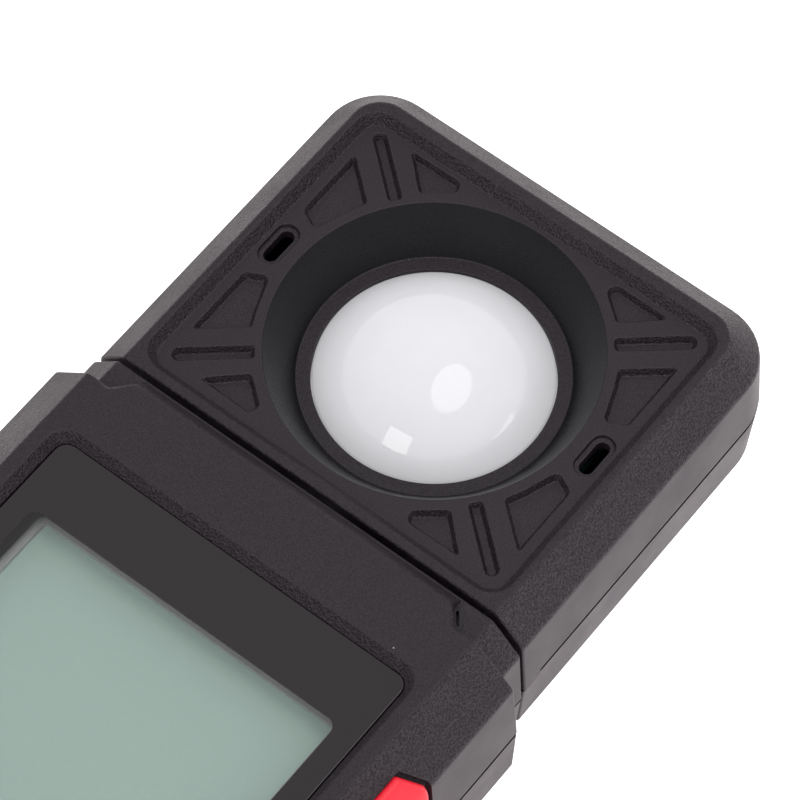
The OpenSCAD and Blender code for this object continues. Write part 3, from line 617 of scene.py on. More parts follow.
def opal_plastic():
    """Glossy opal: light scatters a little way in, under a hard polished surface; a faint emission paints
    in a glow for light that comes through the dome.
    """
    mix = Recipe("opal_dome", (0.5, 0.503, 0.52), 0.02)
    coords = mix.coords()
    cloud = mix.spread(mix.noise(coords, 7, 3, 0.55))
    tint = mix.tones(cloud, (0.495, 0.498, 0.515, 1), (0.512, 0.514, 0.53, 1))
    rough = mix.ramp(mix.noise(coords, 2.2, 4, 0.6), 0.3, 0.75, 0.008, 0.018)
    peel = mix.bump(mix.noise(coords, 1.1), 0.004, 0.3)
    # the emission is a painted glow that evens the dome's shading; the dome is no lamp
    mix.shade({"Base Color": tint, "Roughness": rough, "Normal": peel,
               "Emission Color": (0.97, 0.97, 1, 1), "Emission Strength": 0.28,
               "Subsurface Weight": 0.35, "Subsurface Radius": (1, 0.95, 0.9),
               "Subsurface Scale": 2.5 * MM})
    return mix.material


def coated_print():
    """The window's printed border, under the polish of the plate."""
    material = moulded("border_print", (0.0085, 0.0055, 0.0072), 0.35, fine=0.0, specular=0.05,
                       mottle=0.02)
    shader = material.node_tree.nodes["Principled BSDF"]
    shader.inputs["Coat Weight"].default_value = 0.9
    shader.inputs["Coat Roughness"].default_value = 0.03
    return material


# the charcoal, red and key plastics get lighter edges in patches: worn plastic and a painted highlight
charcoal = moulded("charcoal_plastic", (0.0145, 0.0096, 0.0142), 0.44, fine=0.05, coarse_mm=0.26,
                   coarse=0.24, specks=0.7, specular=0.34, mottle=0.22, wear_and_highlight=0.8)
seam_shadow = moulded("seam_shadow", (0.001, 0.001, 0.001), 0.9, fine=0.01, specular=0.02)
dish_black = moulded("dish_black", (0.0028, 0.0025, 0.0037), 0.3, fine=0.02, specular=0.25, mottle=0.1)
opal = opal_plastic()
red = moulded("red_elastomer", (0.9, 0.014, 0.034), 0.42, fine=0.01, mottle=0.04, wear_and_highlight=0.12)
key_grey = moulded("key_elastomer", (0.05, 0.05, 0.052), 0.55, fine=0.02, wear_and_highlight=0.3)
clear_window = glassy("clear_acrylic", 0.02)
border_print = coated_print()
lcd_glass = moulded("lcd_glass", (0.381, 0.51, 0.455), 0.3, fine_mm=0.5, fine=0.0, specular=0.05,
                    mottle=0.012)
frame_grey = moulded("frame_grey", (0.34, 0.35, 0.35), 0.5, fine=0.004, specular=0.2, mottle=0.03)
steel = finish("zinc_steel", (0.62, 0.62, 0.64), 0.32, metallic=1.0, grain_mm=0.2, bump_mm=0.006)
turned = finish("turned_aluminium", (0.66, 0.66, 0.68), 0.28, metallic=1.0, grain_mm=0.25,
                bump_mm=0.008, stretch=(0.2, 4, 0.2))
brass = finish("machined_brass", (0.72, 0.49, 0.19), 0.27, metallic=1.0, grain_mm=0.2, bump_mm=0.008,
               stretch=(0.3, 0.3, 4))
black_rubber = finish("black_rubber", (0.016, 0.016, 0.017), 0.75, grain_mm=0.25, bump_mm=0.03, worn=1.6)
black_plastic = finish("black_plastic", (0.013, 0.013, 0.014), 0.45, grain_mm=0.2, bump_mm=0.02,
                       worn=1.5)
mat_rubber = finish("keypad_silicone", (0.16, 0.165, 0.175), 0.65, grain_mm=0.3, bump_mm=0.02)
acetal = finish("natural_acetal", (0.68, 0.66, 0.58), 0.4, grain_mm=0.4, bump_mm=0.012, worn=1.05)
guide = finish("light_guide", (0.8, 0.83, 0.81), 0.16, grain_mm=1.2, bump_mm=0.004, worn=1.04)
ceramic = finish("sensor_ceramic", (0.62, 0.6, 0.54), 0.5, grain_mm=0.2, worn=1.05)
cable = finish("cable_sheath", (0.022, 0.022, 0.023), 0.4, bump_mm=0.03, worn=1.5, stretch=(1, 0.3, 1))
filter_glass = finish("filter_glass", (0.12, 0.3, 0.12), 0.06, grain_mm=2.5, bump_mm=0.002, worn=1.1)
board = solder_mask()
connector = striped("connector_strip", 0, 0.36, (0.62, 0.3, 0.3), (0.07, 0.05, 0.05), 0.6)
jacket = striped("cell_jacket", 1, 58.0, (0.05, 0.1, 0.24), (0.42, 0.43, 0.45), 0.3)


# ---- Head, front shell ----

def head_front():
    shape = Shape()
    dish_skin, seam_skin = 1, 2
    wall_y = JOINT_Y + 2.95
    cavity_z = 23
    inner = fillet([(6.2, cavity_z), (5, cavity_z, 0.8), (2.5, 20.5, 0.8), (INNER_WALL, HEAD_SEAM)])
    outer = front_profile(HEAD_SEAM, *HEAD_BEVEL, 4.62)
    first = len(inner)
    paths = u_loops(HEAD_HALF, [wall_y], HEAD_TIP, HEAD_CORNER, inner + outer)
    shape.grid(paths[:first + 1])
    shape.grid(paths[first:first + 2], skin=seam_skin)
    shape.grid(paths[first + 1:])

    # the joint end: stations of the section, rounded into the joint face
    drop = HEAD_SEAM - JOINT_SEAM - REAR_DROP / 2
    step_y = JOINT_Y + 2.8
    above_seam = HEAD_SEAM + 0.1
    side_x = HEAD_HALF - 1

    def lowered(x, y, z):
        """Near the joint the seam's edge runs a step lower, still in the plane of the side."""
        if z > above_seam or y > step_y:
            return x, y, z
        out = SIDE_LEAN * drop if abs(x) > side_x else 0
        return x + math.copysign(out, x), y, z - drop

    joint_round = 0.3
    section = whole(left_side(HEAD_HALF, outer))
    normals = inward_normals(section)
    stations = [[lowered(x, y, z) for x, z in section]
                for y in (wall_y, step_y + 0.06, step_y - 0.06, JOINT_Y + joint_round)]
    ends = []
    for j in range(EDGE_STEPS + 1):
        back, e = edge_turn(j, joint_round)
        row = []
        for (x, z), n in zip(section, normals):
            at_seam = z < above_seam
            on_ledge = at_seam and abs(x) < side_x
            x, y, z = lowered(x, JOINT_Y + back, z)
            row.append((x + (0 if on_ledge else n.x * e), y, z + (0 if at_seam else n.y * e)))
        ends.append(row)
    middle = len(section) // 2 - 1
    shape.grid(stations, skip=(middle,))
    shape.grid(ends)

    # underside near the joint, joint face, and the end wall of the cavity
    mid_x = HEAD_HALF - INNER_WALL
    shape.grid([[row[0], (-mid_x, *row[0][1:]), (mid_x, *row[0][1:]), row[-1]]
                for row in stations + ends[1:]])
    last = ends[-1]
    shape.wall(last + [(mid_x, last[-1][2]), (-mid_x, last[0][2])], JOINT_Y)
    shape.wall(whole([path[0] for path in paths[:first]]), wall_y)

    # the recessed face
    floor_z = HEAD_TOP - 1.19
    rows = rect_loops(24.91, JOINT_Y + 1.2, JOINT_Y + 43.07, 3,
                      [(-0.2, HEAD_TOP), (0, HEAD_TOP, 0.34), (1, floor_z, 0.3), (1.2, floor_z)])
    shape.tube(rows)
    rim = [row[middle] for row in stations[:0:-1]] + paths[-1] + [row[middle + 1] for row in stations[1:]]
    shape.lid(rim, HEAD_TOP, [rows[0]])

    # dish, ring and the hole the dome stands in, down to the underside; the dish's own black
    # runs from the middle of its rounded rim to the ring
    ring_z = floor_z - 5.87
    hole_r, ledge_z = 13.77, ring_z - 1.2
    dish = fillet([(19.22, floor_z), (19, floor_z, 0.22), (15.42, ring_z, 0.25), (hole_r, ring_z, 0.1),
                   (hole_r, ledge_z), (16.9, ledge_z), (19.2, cavity_z)])
    dish_rows = [at_z(circle(r), z, (0, DISH_Y)) for r, z in dish]
    rim_row, ring_row = 3, 8
    shape.tube(dish_rows[rim_row:ring_row + 1], dish_skin)
    shape.tube(dish_rows[:rim_row + 1])
    shape.tube(dish_rows[ring_row:])

    # pockets in the face: three outlines about the dish's centre, each in all four quarters
    depth, slope, lip = 0.85, 0.4, 0.16
    end_pocket = [(10.9, 19, 0.9), (10.4, 17.6, 0.9), (13.8, 14.9, 0.6), (18.1, 18.9, 0.25)]
    side_pocket = [(22.7, 14.6, 0.25), (17.5, 10.3, 0.6), (18.5, 8.2, 3), (20.1, 3.9, 0.8),
                   (22.7, 5.2, 0.9)]
    c, s = math.cos(math.radians(40)), math.sin(math.radians(40))
    bar = [(18.8 + x * c - y * s, 15.5 + x * s + y * c, r) for x, y, r in
           ((-4.6, -0.85, 0.5), (4.6, -0.85, 0.84), (4.6, 0.85, 0.84), (-4.6, 0.85, 0.5))]
    holes = [dish_rows[0]]
    walls = fillet([(-lip, floor_z), (0, floor_z, lip), (slope, floor_z - depth, 0.2),
                    (slope + 0.12, floor_z - depth)], 3)
    for corners in (end_pocket, side_pocket, bar):
        for mx, my in ((1, 1), (-1, 1), (-1, -1), (1, -1)):
            placed = [(x * mx, y * my + DISH_Y, r) for x, y, r in corners]
            if mx * my < 0:
                placed.reverse()
            loops = [at_z(rounded_loop(inset_corners(placed, d)), z) for d, z in walls]
            shape.tube(loops)
            shape.lid(loops[-1], floor_z - depth)
            holes.append(loops[0])

    # a slot through the face on each side of the dish, and the underside of the face
    slots_below = []
    slot_floor = floor_z - 0.55
    slot_walls = [(-lip, floor_z), (0, floor_z, lip), (0.12, slot_floor, 0.1),
                  (0.62, slot_floor, 0.12), (0.66, floor_z - 1.4), (0.66, cavity_z)]
    for side in (-1, 1):
        loops = rect_loops(1.45, -2.9, 2.9, 1.449, slot_walls, (side * 22, DISH_Y), 3)
        shape.tube(loops)
        holes.append(loops[0])
        slots_below.append(loops[-1])
    shape.lid(rows[-1], floor_z, holes)
    shape.lid(paths[0], cavity_z, [dish_rows[-1], *slots_below])
    build(shape, "head_front", "head_front_shell", "head", [charcoal, dish_black, seam_shadow])


# ---- Body, front shell ----

body_outer = front_profile(JOINT_SEAM, *BODY_BEVEL, 6.0)
neck_outer = front_profile(JOINT_SEAM, *HEAD_BEVEL, 4.7)
side_points = [(BODY_HALF - u, z) for u, z in body_outer]
side_normals = [-n for n in inward_normals(side_points)]
side_reach = [0.0]
for before, after in zip(side_points, side_points[1:]):
    side_reach.append(side_reach[-1] + math.dist(before, after))


def on_side(s, y, side=1, out=0.0):
    """A point of the body's side surface: s along the section from the seam, y, and out from it."""
    k = 0
    while k < len(side_reach) - 2 and s > side_reach[k + 1]:
        k += 1
    t = (s - side_reach[k]) / max(side_reach[k + 1] - side_reach[k], 1e-9)
    p = Vector(side_points[k]).lerp(Vector(side_points[k + 1]), t)
    n = side_normals[k].lerp(side_normals[k + 1], t).normalized()
    return side * (p.x + n.x * out), y, p.y + n.y * out


def reach_at(x=None, z=None):
    """How far along the side surface a given x on the bevel, or height on the wall, lies."""
    wall_start, bevel_start = 5, 9
    for k, (a, b) in enumerate(zip(side_points, side_points[1:])):
        if z is not None and k >= wall_start and a[1] <= z <= b[1]:
            return side_reach[k] + (z - a[1]) / (b[1] - a[1]) * (side_reach[k + 1] - side_reach[k])
        if x is not None and k >= bevel_start and b[0] <= x <= a[0]:
            return side_reach[k] + (a[0] - x) / (a[0] - b[0]) * (side_reach[k + 1] - side_reach[k])


def grip_corners(end_gap, side_gap):
    """The grip's outline on the side surface, with a gap round it."""
    low, high = box_mm("side_grip_right")
    top, corner, foot = reach_at(x=GRIP_TOP_X), reach_at(x=GRIP_CORNER_X), reach_at(z=low.z + 0.05)
    top, foot = top + side_gap, foot - side_gap
    y0, y1 = low.y - end_gap, high.y + end_gap
    return [(foot, y0), (corner, y0), (top, y0 + GRIP_CHAMFER), (top, y1 - GRIP_CHAMFER), (corner, y1),
            (foot, y1)]


def split_at(loop, values):
    """A loop with extra points where its sides cross the given first coordinates."""
    out = []
    for a, b in zip(loop, loop[1:] + loop[:1]):
        out.append(a)
        cross = [v for v in values if min(a[0], b[0]) + 1e-6 < v < max(a[0], b[0]) - 1e-6]
        for v in sorted(cross, reverse=b[0] < a[0]):
            out.append((v, a[1] + (b[1] - a[1]) * (v - a[0]) / (b[0] - a[0])))
    return out


def shoulder_y(z):
    """The shoulder's face leans out towards the seam."""
    return SHOULDER_Y + SHOULDER_LEAN * unit((HEAD_TOP - z) / (HEAD_TOP - JOINT_SEAM))


ramp_path = fillet([(SHOULDER_Y - 1, BODY_TOP), (SHOULDER_Y + 2.1, BODY_TOP, 1.3),
                    (RAMP_END, HEAD_TOP)], 6)


def ramp_height(y):
    for (ya, za), (yb, zb) in zip(ramp_path, ramp_path[1:]):
        if y <= yb + 1e-6:
            return za + (zb - za) * max(y - ya, 0) / (yb - ya)
    return HEAD_TOP


def step_strip(path):
    """The rounded edge between the display face and the step beside the ramp, along a plan path."""
    rows = []
    for j in range(EDGE_STEPS + 1):
        row = []
        for i, p in enumerate(path):
            a, b = path[max(i - 1, 0)], path[min(i + 1, len(path) - 1)]
            n = Vector((a[1] - b[1], b[0] - a[0])).normalized()
            r = EDGE_ROUND + (STEP_ROUND - EDGE_ROUND) * unit((p[0] - path[1][0]) / 1.2)
            back, down = edge_turn(j, r)
            x, y = p[0] - n.x * back, p[1] - n.y * back
            top = ramp_height(y)
            row.append((x, y, top - down * min(1, (top - HEAD_TOP) / r)))
        rows.append(row)
    return rows


def grip_recesses(shape):
    """The straight sides, with the recesses the grips sit in."""
    depth = 0.9
    hole = split_at(grip_corners(0.6, 0.14), side_reach)
    low, high = GRIP_ZONE
    zone = [(s, low) for s in side_reach] + [(s, high) for s in reversed(side_reach)]
    cuts = [((s, low), (s, high)) for s in side_reach[1:-1]]
    floor_cuts = []
    for s in side_reach:
        ys = [p[1] for p in hole if abs(p[0] - s) < 1e-4]
        if ys:
            floor_cuts.append(((s, min(ys)), (s, max(ys))))
    for side in (-1, 1):
        shape.fill(zone, [hole], lambda s, y: on_side(s, y, side), cuts)
        shape.tube([[on_side(s, y, side, out) for s, y in hole] for out in (0, -depth)])
        shape.fill(hole, place=lambda s, y: on_side(s, y, side, -depth), cuts=floor_cuts)


def step_plan(start):
    """The plan path of the step beside the ramp, from a point on the body's bevel to the joint."""
    ramp_x = -21.8
    path = [start, *fillet([(-(NECK_HALF - neck_outer[-1][0]), SHOULDER_Y), (-23.7, SHOULDER_Y, 0.9),
                            (ramp_x, SHOULDER_Y + 2.3, 0.8), (ramp_x, RAMP_END)], 7)[:-1]]
    path += [(ramp_x, y) for y, _ in ramp_path if path[-1][1] + 0.05 < y < RAMP_END - 0.05]
    return path + [(ramp_x, RAMP_END)]


def shoulder_and_joint(shape):
    """Shoulder, neck, step and joint face. Returns the step's strip."""
    left = left_side(BODY_HALF, body_outer)
    left_n = inward_normals(left)
    turns = range(EDGE_STEPS + 1)
    body_rows = [[(x, WALL_Y, z) for x, z in left]]
    body_rows += [end_row(left, left_n, shoulder_y, j) for j in turns]
    neck = left_side(NECK_HALF, neck_outer)
    neck_n = inward_normals(neck)
    neck_rows = [[(x, shoulder_y(z), z) for x, z in neck]]
    neck_rows += [end_row(neck, neck_n, lambda z: NECK_FACE, j) for j in turns]
    path = step_plan((left[-1][0], SHOULDER_Y))
    strip = step_strip(path)
    foot = [(x, y, HEAD_TOP) for x, y in path[1:]]
    along, out = Vector((1.13, 1.5)).normalized(), Vector((-1.5, 1.13)).normalized()
    middle = Vector((-22.78, 63.1))
    notch = [tuple(middle + along * v + out * u) for u, v in rounded_rect(0.17, -0.95, 0.95, 0.16, 4)]
    notch_z = HEAD_TOP - 0.9
    for flip in (list, mirrored):
        shape.grid([flip(row) for row in body_rows])
        shape.grid([flip(row) for row in neck_rows])
        shape.grid([flip(row) for row in strip])
        shape.grid([flip(strip[-1][1:]), flip(foot)])
        face = body_rows[-1] + [strip[-1][1], foot[0]] + neck_rows[0][-2:0:-1]
        shape.fill(flip([(p[0], p[2]) for p in face]), place=lambda x, z: (x, shoulder_y(z), z))
        shape.lid(flip(foot + [(neck[-1][0], RAMP_END, HEAD_TOP)]), HEAD_TOP, [flip(notch)])
        shape.tube([flip(at_z(notch, z)) for z in (HEAD_TOP, notch_z)])
        shape.lid(flip(notch), notch_z)

    # the joint face and its rounded top edge
    top_rows = []
    for j in turns:
        back, e = edge_turn(j)
        top_edge = [(row[-1][0], NECK_FACE - back, HEAD_TOP - e) for row in strip[::-1]]
        top_rows.append(whole([neck_rows[j + 1][-1], *top_edge]))
    shape.grid(top_rows)
    neck_end = neck_rows[-1][:-1]
    shape.wall(neck_end + top_rows[-1] + mirrored(neck_end)[::-1], NECK_FACE)

    # the underside there
    inner_x = BODY_HALF - INNER_WALL
    under = [row[0] for row in body_rows] + [neck_rows[0][1]] + [row[0] for row in neck_rows]
    shape.lid(whole(flat(under)) + [(inner_x, WALL_Y), (-inner_x, WALL_Y)], JOINT_SEAM)
    return strip


def window_recess(shape, roof_z):
    """The window's recess, with a seat and an opening. Returns its mouth and the block under it."""
    low, high = WINDOW_LOW, WINDOW_HIGH
    seat_z, under_z = low.z - 0.3, low.z - 1.5
    walls = [(-0.2, BODY_TOP), (0, BODY_TOP, 0.32), (1.0, high.z, 0.1), (1.0, seat_z)]
    loops = rect_loops(high.x + 1.1, low.y - 1.1, high.y + 1, 2.7, walls)
    shape.tube(loops)
    frame_low, frame_high = box_mm("lcd_frame")
    opening = rounded_rect(frame_high.x + 0.2, frame_low.y - 0.2, frame_high.y + 0.2, 1, 4)
    shape.lid(loops[-1], seat_z, [opening])
    shape.tube([at_z(opening, z) for z in (seat_z, under_z)])
    block = rounded_rect(high.x + 2.15, low.y - 2.6, WALL_Y - 0.8, 3, 4)
    shape.lid(block, under_z, [opening])
    shape.tube([at_z(block, z) for z in (under_z, roof_z)])
    return loops[0], block


def keypad_panel(shape, roof_z):
    """The keypad's panel and its key holes. Returns the panel's edge and the holes' lower edges."""
    panel_z = BODY_TOP - 0.6
    walls = [(-0.2, BODY_TOP), (0, BODY_TOP, 0.25), (0.35, panel_z, 0.2), (0.7, panel_z)]
    panel = rect_loops(24.85, -47.5, 1, 6, walls)
    shape.tube(panel)
    key_walls = fillet([(0.25, panel_z), (0, panel_z, 0.25), (0, roof_z)])
    key_tops, key_feet = [], []
    for name in KEYS:
        outline, core = key_outline(name, 0.25)
        rows = [at_z([grow(p, core, d) for p in outline], z) for d, z in key_walls]
        shape.tube(rows)
        key_tops.append(rows[0])
        key_feet.append(rows[-1])
    shape.lid(panel[-1], panel_z, key_tops)
    return panel[0], key_feet


def body_front():
    shape = Shape()
    seam_skin = 1
    roof_z = BODY_TOP - 2
    inner = fillet([(6.2, roof_z), (6, roof_z, 0.3), (2.48, 22.2, 0.8), (INNER_WALL, JOINT_SEAM)])
    ends = [WALL_Y, GRIP_ZONE[1], GRIP_ZONE[0]]
    inner_paths = u_loops(BODY_HALF, ends, BODY_TIP, BODY_CORNER, inner)
    outer_paths = u_loops(BODY_HALF, ends, BODY_TIP, BODY_CORNER, body_outer)
    grip_steps = (1, len(outer_paths[0]) - 3)
    shape.grid(inner_paths + outer_paths[:1])
    shape.grid(outer_paths[:2], skip=grip_steps, skin=seam_skin)
    shape.grid(outer_paths[1:], skip=grip_steps)
    grip_recesses(shape)
    strip = shoulder_and_joint(shape)
    shape.wall(whole([path[0] for path in inner_paths]), WALL_Y)
    window_mouth, block = window_recess(shape, roof_z)
    panel_edge, key_feet = keypad_panel(shape, roof_z)

    # the display face, which runs down the ramp, and the underside of the roof
    ridge_x = 20.6
    ridges = [((-ridge_x, y), (ridge_x, y)) for y, _ in ramp_path if SHOULDER_Y < y < RAMP_END - 0.05]
    across = flat(strip[0])
    shape.fill(flat(outer_paths[-1]) + mirrored(across) + across[::-1],
               [flat(window_mouth), flat(panel_edge)], lambda x, y: (x, y, ramp_height(y)), ridges)
    shape.lid(inner_paths[0], roof_z, [block, *key_feet])
    build(shape, "body_front", "body_front_shell", "housing", [charcoal, seam_shadow])


# ---- Keys ----

def key_centre(name):
    low, high = box_mm(name)
    return (low.x + high.x) / 2, (low.y + high.y) / 2


def key_outline(name, margin):
    """A key's plan outline with a margin, and the box its corners turn about; the round key has none."""
    x, y = key_centre(name)
    if name == "power_button":
        return shifted(circle(ROUND_KEY_RADIUS + margin, 72), (x, y)), None
    hx, hy = OBLONG_KEY_HALF[0] + margin, OBLONG_KEY_HALF[1] + margin
    r = OBLONG_KEY_CORNER + margin
    return shifted(rounded_rect(hx, -hy, hy, r), (x, y)), (x, y, hx - r, hy - r)


def grow(p, core, d):
    """A point of a key's outline moved out by d, square to it."""
    x, y, hx, hy = core or (*key_centre("power_button"), 0, 0)
    cx = min(max(p[0], x - hx), x + hx)
    cy = min(max(p[1], y - hy), y + hy)
    reach = max(math.dist(p, (cx, cy)), 1e-6)
    return cx + (p[0] - cx) * (reach + d) / reach, cy + (p[1] - cy) * (reach + d) / reach


def key_piece(name, material):
    shape = Shape()
    top = box_mm(name)[1].z
    foot = 24.4
    outline, core = key_outline(name, 0)
    walls = [(0, foot)] + fillet([(0, top - 1.5), (0, top - 0.35, 0.55), (-1.6, top, 0.5), (-2.5, top)])
    if name == "power_button":
        walls += [(-3.4, top - 0.12), (-4.4, top - 0.2), (-5.6, top - 0.26)]
    else:
        walls += [(-2.59, top)]
    rows = [at_z([grow(p, core, d) for p in outline], z) for d, z in walls]
    shape.tube(rows)
    for row in (rows[-1], rows[0]):
        shape.lid(row, row[0][2])
    build(shape, name + "_cap", name, name, [material])


# ---- Side grips ----

def side_grip(name, side):
    """A grip band: rounded along its edges, with cross grooves."""
    shape = Shape()
    (foot, y0), (corner, _), (top, _), _, (_, y1), _ = grip_corners(0, 0)
    proud, edge = 0.5, 1.0
    first_groove, pitch, groove_half, groove_depth = 6, 5.4, 0.65, 0.5
    slant = (top - corner) / math.hypot(top - corner, GRIP_CHAMFER)

    def top_at(y):
        return corner + (top - corner) * min(min(y - y0, y1 - y) / GRIP_CHAMFER, 1)

    def groove_at(s, y):
        phase = (y - y0 - first_groove) / pitch
        if phase <= -0.2 or y >= y1 - 4:
            return 0
        nearest = abs(phase - round(phase)) * pitch
        fade = unit((s - foot - 1.2) / 0.8) * unit((top - s - 1.2) / 0.8)
        return groove_depth * max(0, 1 - (nearest / groove_half) ** 2) * fade

    def height(s, y):
        near = min(s - foot, top - s, y - y0, y1 - y)
        if top_at(y) < top:
            near = min(near, (top_at(y) - s) * (1 - slant * 0.4))
        near = min(max(near, 0), edge)
        rise = math.sqrt(max(edge ** 2 - (edge - near) ** 2, 0))
        return proud - edge + rise - groove_at(s, y)

    # rows of points: close together where the ends turn over, evenly spaced between
    turn, end, spacing = 1.2, 1.22, 0.27
    ys = [y0 + end - turn + (1 - math.cos(math.pi / 2 * i / 6)) * turn for i in range(7)]
    count = int((y1 - y0 - 2 * end) / spacing)
    even = [y0 + end + (y1 - y0 - 2 * end) * i / count for i in range(1, count)]
    ys = [y0] + ys[1:] + even + [y1 + y0 - y for y in reversed(ys[1:])] + [y1]
    share = [0, 0.01, 0.03, 0.06, 0.1] + [0.1 + 0.8 * i / 12 for i in range(1, 12)]
    share += [0.9, 0.94, 0.97, 0.99, 1]
    rows, base = [], []
    for y in ys:
        reach = [foot + (top_at(y) - foot) * t for t in share]
        rows.append([on_side(s, y, side, height(s, y)) for s in reach])
        base.append([on_side(s, y, side, -0.88) for s in reach])
    shape.grid(rows)
    shape.grid(base)
    for k in (0, -1):
        shape.grid([[r[k] for r in rows], [r[k] for r in base]])
        shape.grid([rows[k], base[k]])
    build(shape, name + "_band", name, "housing", [red], sharp=50)


# ---- Dome and window ----

def dome():
    """A hollow cap of a sphere, on a flange."""
    shape = Shape()
    low, high = DOME_LOW, DOME_HIGH
    rim_r, rim_z, flange_z, skin = 13.65, 18.6, 17.7, 1.4
    rise = high.z - rim_z
    ball = (rim_r ** 2 + rise ** 2) / (2 * rise)
    reach = math.asin(rim_r / ball)

    def cap(radius, turn, steps):
        angles = [turn * i / steps for i in range(1, steps + 1)]
        return [(radius * math.sin(a), high.z - ball + radius * math.cos(a)) for a in angles]

    flange = [(rim_r, flange_z + 0.05), (rim_r, flange_z), (high.x, flange_z), (high.x, low.z),
              (rim_r - 1.8, low.z)]
    profile = cap(ball, reach, 40) + flange + cap(ball - skin, reach * 0.93, 24)[::-1]
    rows = [at_z(circle(r, 128), z, (0, DISH_Y)) for r, z in profile]
    shape.tube(rows)
    for row, z in ((rows[0], high.z), (rows[-1], high.z - skin)):
        for a, b in zip(row, row[1:] + row[:1]):
            shape.face((a, b, (0, DISH_Y, z)))
    build(shape, "dome", "diffuser_dome", "head", [opal])


def window():
    """The clear plate over the display, with its border printed on top and its edges rounded."""
    shape = Shape()
    print_skin = 1
    low, high = WINDOW_LOW, WINDOW_HIGH
    under_z = low.z + 0.02
    walls = [(0.5, under_z), (0, under_z, 0.12), (0, high.z, 0.15), (0.2, high.z)]
    loops = rect_loops(high.x, low.y, high.y, 1.6, walls)
    shape.tube(loops, print_skin)
    lcd_low, lcd_high = box_mm("lcd_panel")
    view = rounded_rect(lcd_high.x + 0.6, lcd_low.y - 0.4, lcd_high.y - 0.9, 1.3)
    shape.lid(loops[-1], high.z, [view], print_skin)
    shape.lid(view, high.z)
    shape.lid(loops[0], under_z)
    build(shape, "window_plate", "display_window", "housing", [clear_window, border_print])


# ---- Rear shells and door: the CAD's own solids, with their outer edges rounded ----

def outer_form(plan, profile, stretches):
    """A hidden solid to cut with. Its plan is half width, start, tip and corner; each stretch towards
    the joint is a profile, its half width, and where it starts and ends, with a rounded end."""
    shape = Shape()
    half_w, start_y, tip, corner = plan
    loops = u_loops(half_w - CUT_IN, [start_y], tip, corner - CUT_IN, profile, CUT_STEPS)
    shape.grid(loops)
    for loop in (loops[0], loops[-1]):
        shape.lid(loop, loop[0][2])
    rows = []
    for insets, half, from_y, to_y in stretches:
        left = left_side(half - CUT_IN, insets)
        normals = inward_normals(left, (0, 10))
        facing = math.copysign(1, to_y - from_y)
        rows.append(whole([(x, from_y, z) for x, z in left]))
        rows += [whole(end_row(left, normals, lambda z: to_y, j, 2, facing))
                 for j in range(EDGE_STEPS + 1)]
    shape.tube(rows)
    shape.wall(rows[-1], rows[-1][0][1])
    mesh = plain_mesh("cutter", shape)
    retouch(mesh, faced_outwards)
    return place_object("cutter", mesh)


def flat_normals(mesh):
    """Smooth normals, except that the large flat faces keep their own right up to their edges."""
    same_side = math.cos(math.radians(29.5))

    def plane(polygon):
        n = polygon.normal
        return (*[round(c, 2) for c in n], round(n.dot(polygon.center) / MM, 1))

    area, around = {}, [[] for _ in mesh.vertices]
    for polygon in mesh.polygons:
        area[plane(polygon)] = area.get(plane(polygon), 0) + polygon.area
        for v in polygon.vertices:
            around[v].append(polygon)
    normals = []
    for polygon in mesh.polygons:
        for v in polygon.vertices:
            near = [p for p in around[v] if p.normal.dot(polygon.normal) > same_side]
            large = max(near, key=lambda p: area[plane(p)]) if near else polygon
            if area[plane(polygon)] > FLAT_AREA:
                normals.append(polygon.normal.copy())
            elif area[plane(large)] > FLAT_AREA:
                normals.append(large.normal.copy())
            else:
                total = sum((p.normal * p.area for p in near), Vector())
                normals.append(total.normalized() if total.length > 0 else polygon.normal.copy())
    mesh.normals_split_custom_set(normals)


def rounded_copy(node, cutter, name, body, ledges=()):
    """A copy of a CAD solid cut down to an outer form, with its ledges along the seams in shadow."""
    mesh = frame["nodes"][node].data.copy()
    mesh.transform(frame["nodes"][node].matrix_world)
    retouch(mesh, welded(0.002))
    piece = place_object(name, mesh)
    cut = piece.modifiers.new("outer_form", "BOOLEAN")
    cut.operation, cut.object, cut.solver = "INTERSECT", cutter, "MANIFOLD"
    bpy.context.view_layer.update()
    cut_piece = piece.evaluated_get(bpy.context.evaluated_depsgraph_get())
    result = bpy.data.meshes.new_from_object(cut_piece)
    piece.modifiers.clear()
    piece.data = result
    retouch(result, welded(0.0002), triangulated)
    paint(result, [charcoal, seam_shadow])
    for polygon in result.polygons:
        polygon.use_smooth = True
        on_ledge = any(-0.1 < polygon.center.z / MM - z < 0.04 for z in ledges)
        polygon.material_index = int(on_ledge and polygon.normal.z > 0.3)
    flat_normals(result)
    stand_for(piece, node, body)


def head_rear():
    profile = rear_profile(HEAD_SEAM - 2 * SEAM_HALF - REAR_DROP, *HEAD_BACK_BEVEL)
    start_y = JOINT_Y + 3
    cutter = outer_form((HEAD_HALF, start_y, HEAD_TIP - CUT_IN, HEAD_CORNER), profile,
                        [(profile, HEAD_HALF, start_y, JOINT_Y + 0.01)])
    joint_ledge = JOINT_SEAM - SEAM_HALF - CAD_SEAM_HALF
    rounded_copy("head_rear_shell", cutter, "head_rear", "head", (profile[1][1], joint_ledge))
    bpy.data.objects.remove(cutter)


def body_rear():
    ledge_z = JOINT_SEAM - 2 * SEAM_HALF - REAR_DROP
    profile = rear_profile(ledge_z, *BODY_BACK_BEVEL)
    neck_profile = rear_profile(ledge_z, *HEAD_BACK_BEVEL)
    shoulder = shoulder_y(0) - 0.01
    cutter = outer_form((BODY_HALF, WALL_Y, BODY_TIP + CUT_IN, BODY_CORNER), profile,
                        [(profile, BODY_HALF, WALL_Y, shoulder),
                         (neck_profile, NECK_HALF, shoulder, NECK_FACE - 0.01)])
    rounded_copy("body_rear_shell", cutter, "body_rear", "housing", (ledge_z,))
    rounded_copy("battery_door", cutter, "door", "battery_door")
    bpy.data.objects.remove(cutter)


# ---- The pieces ----

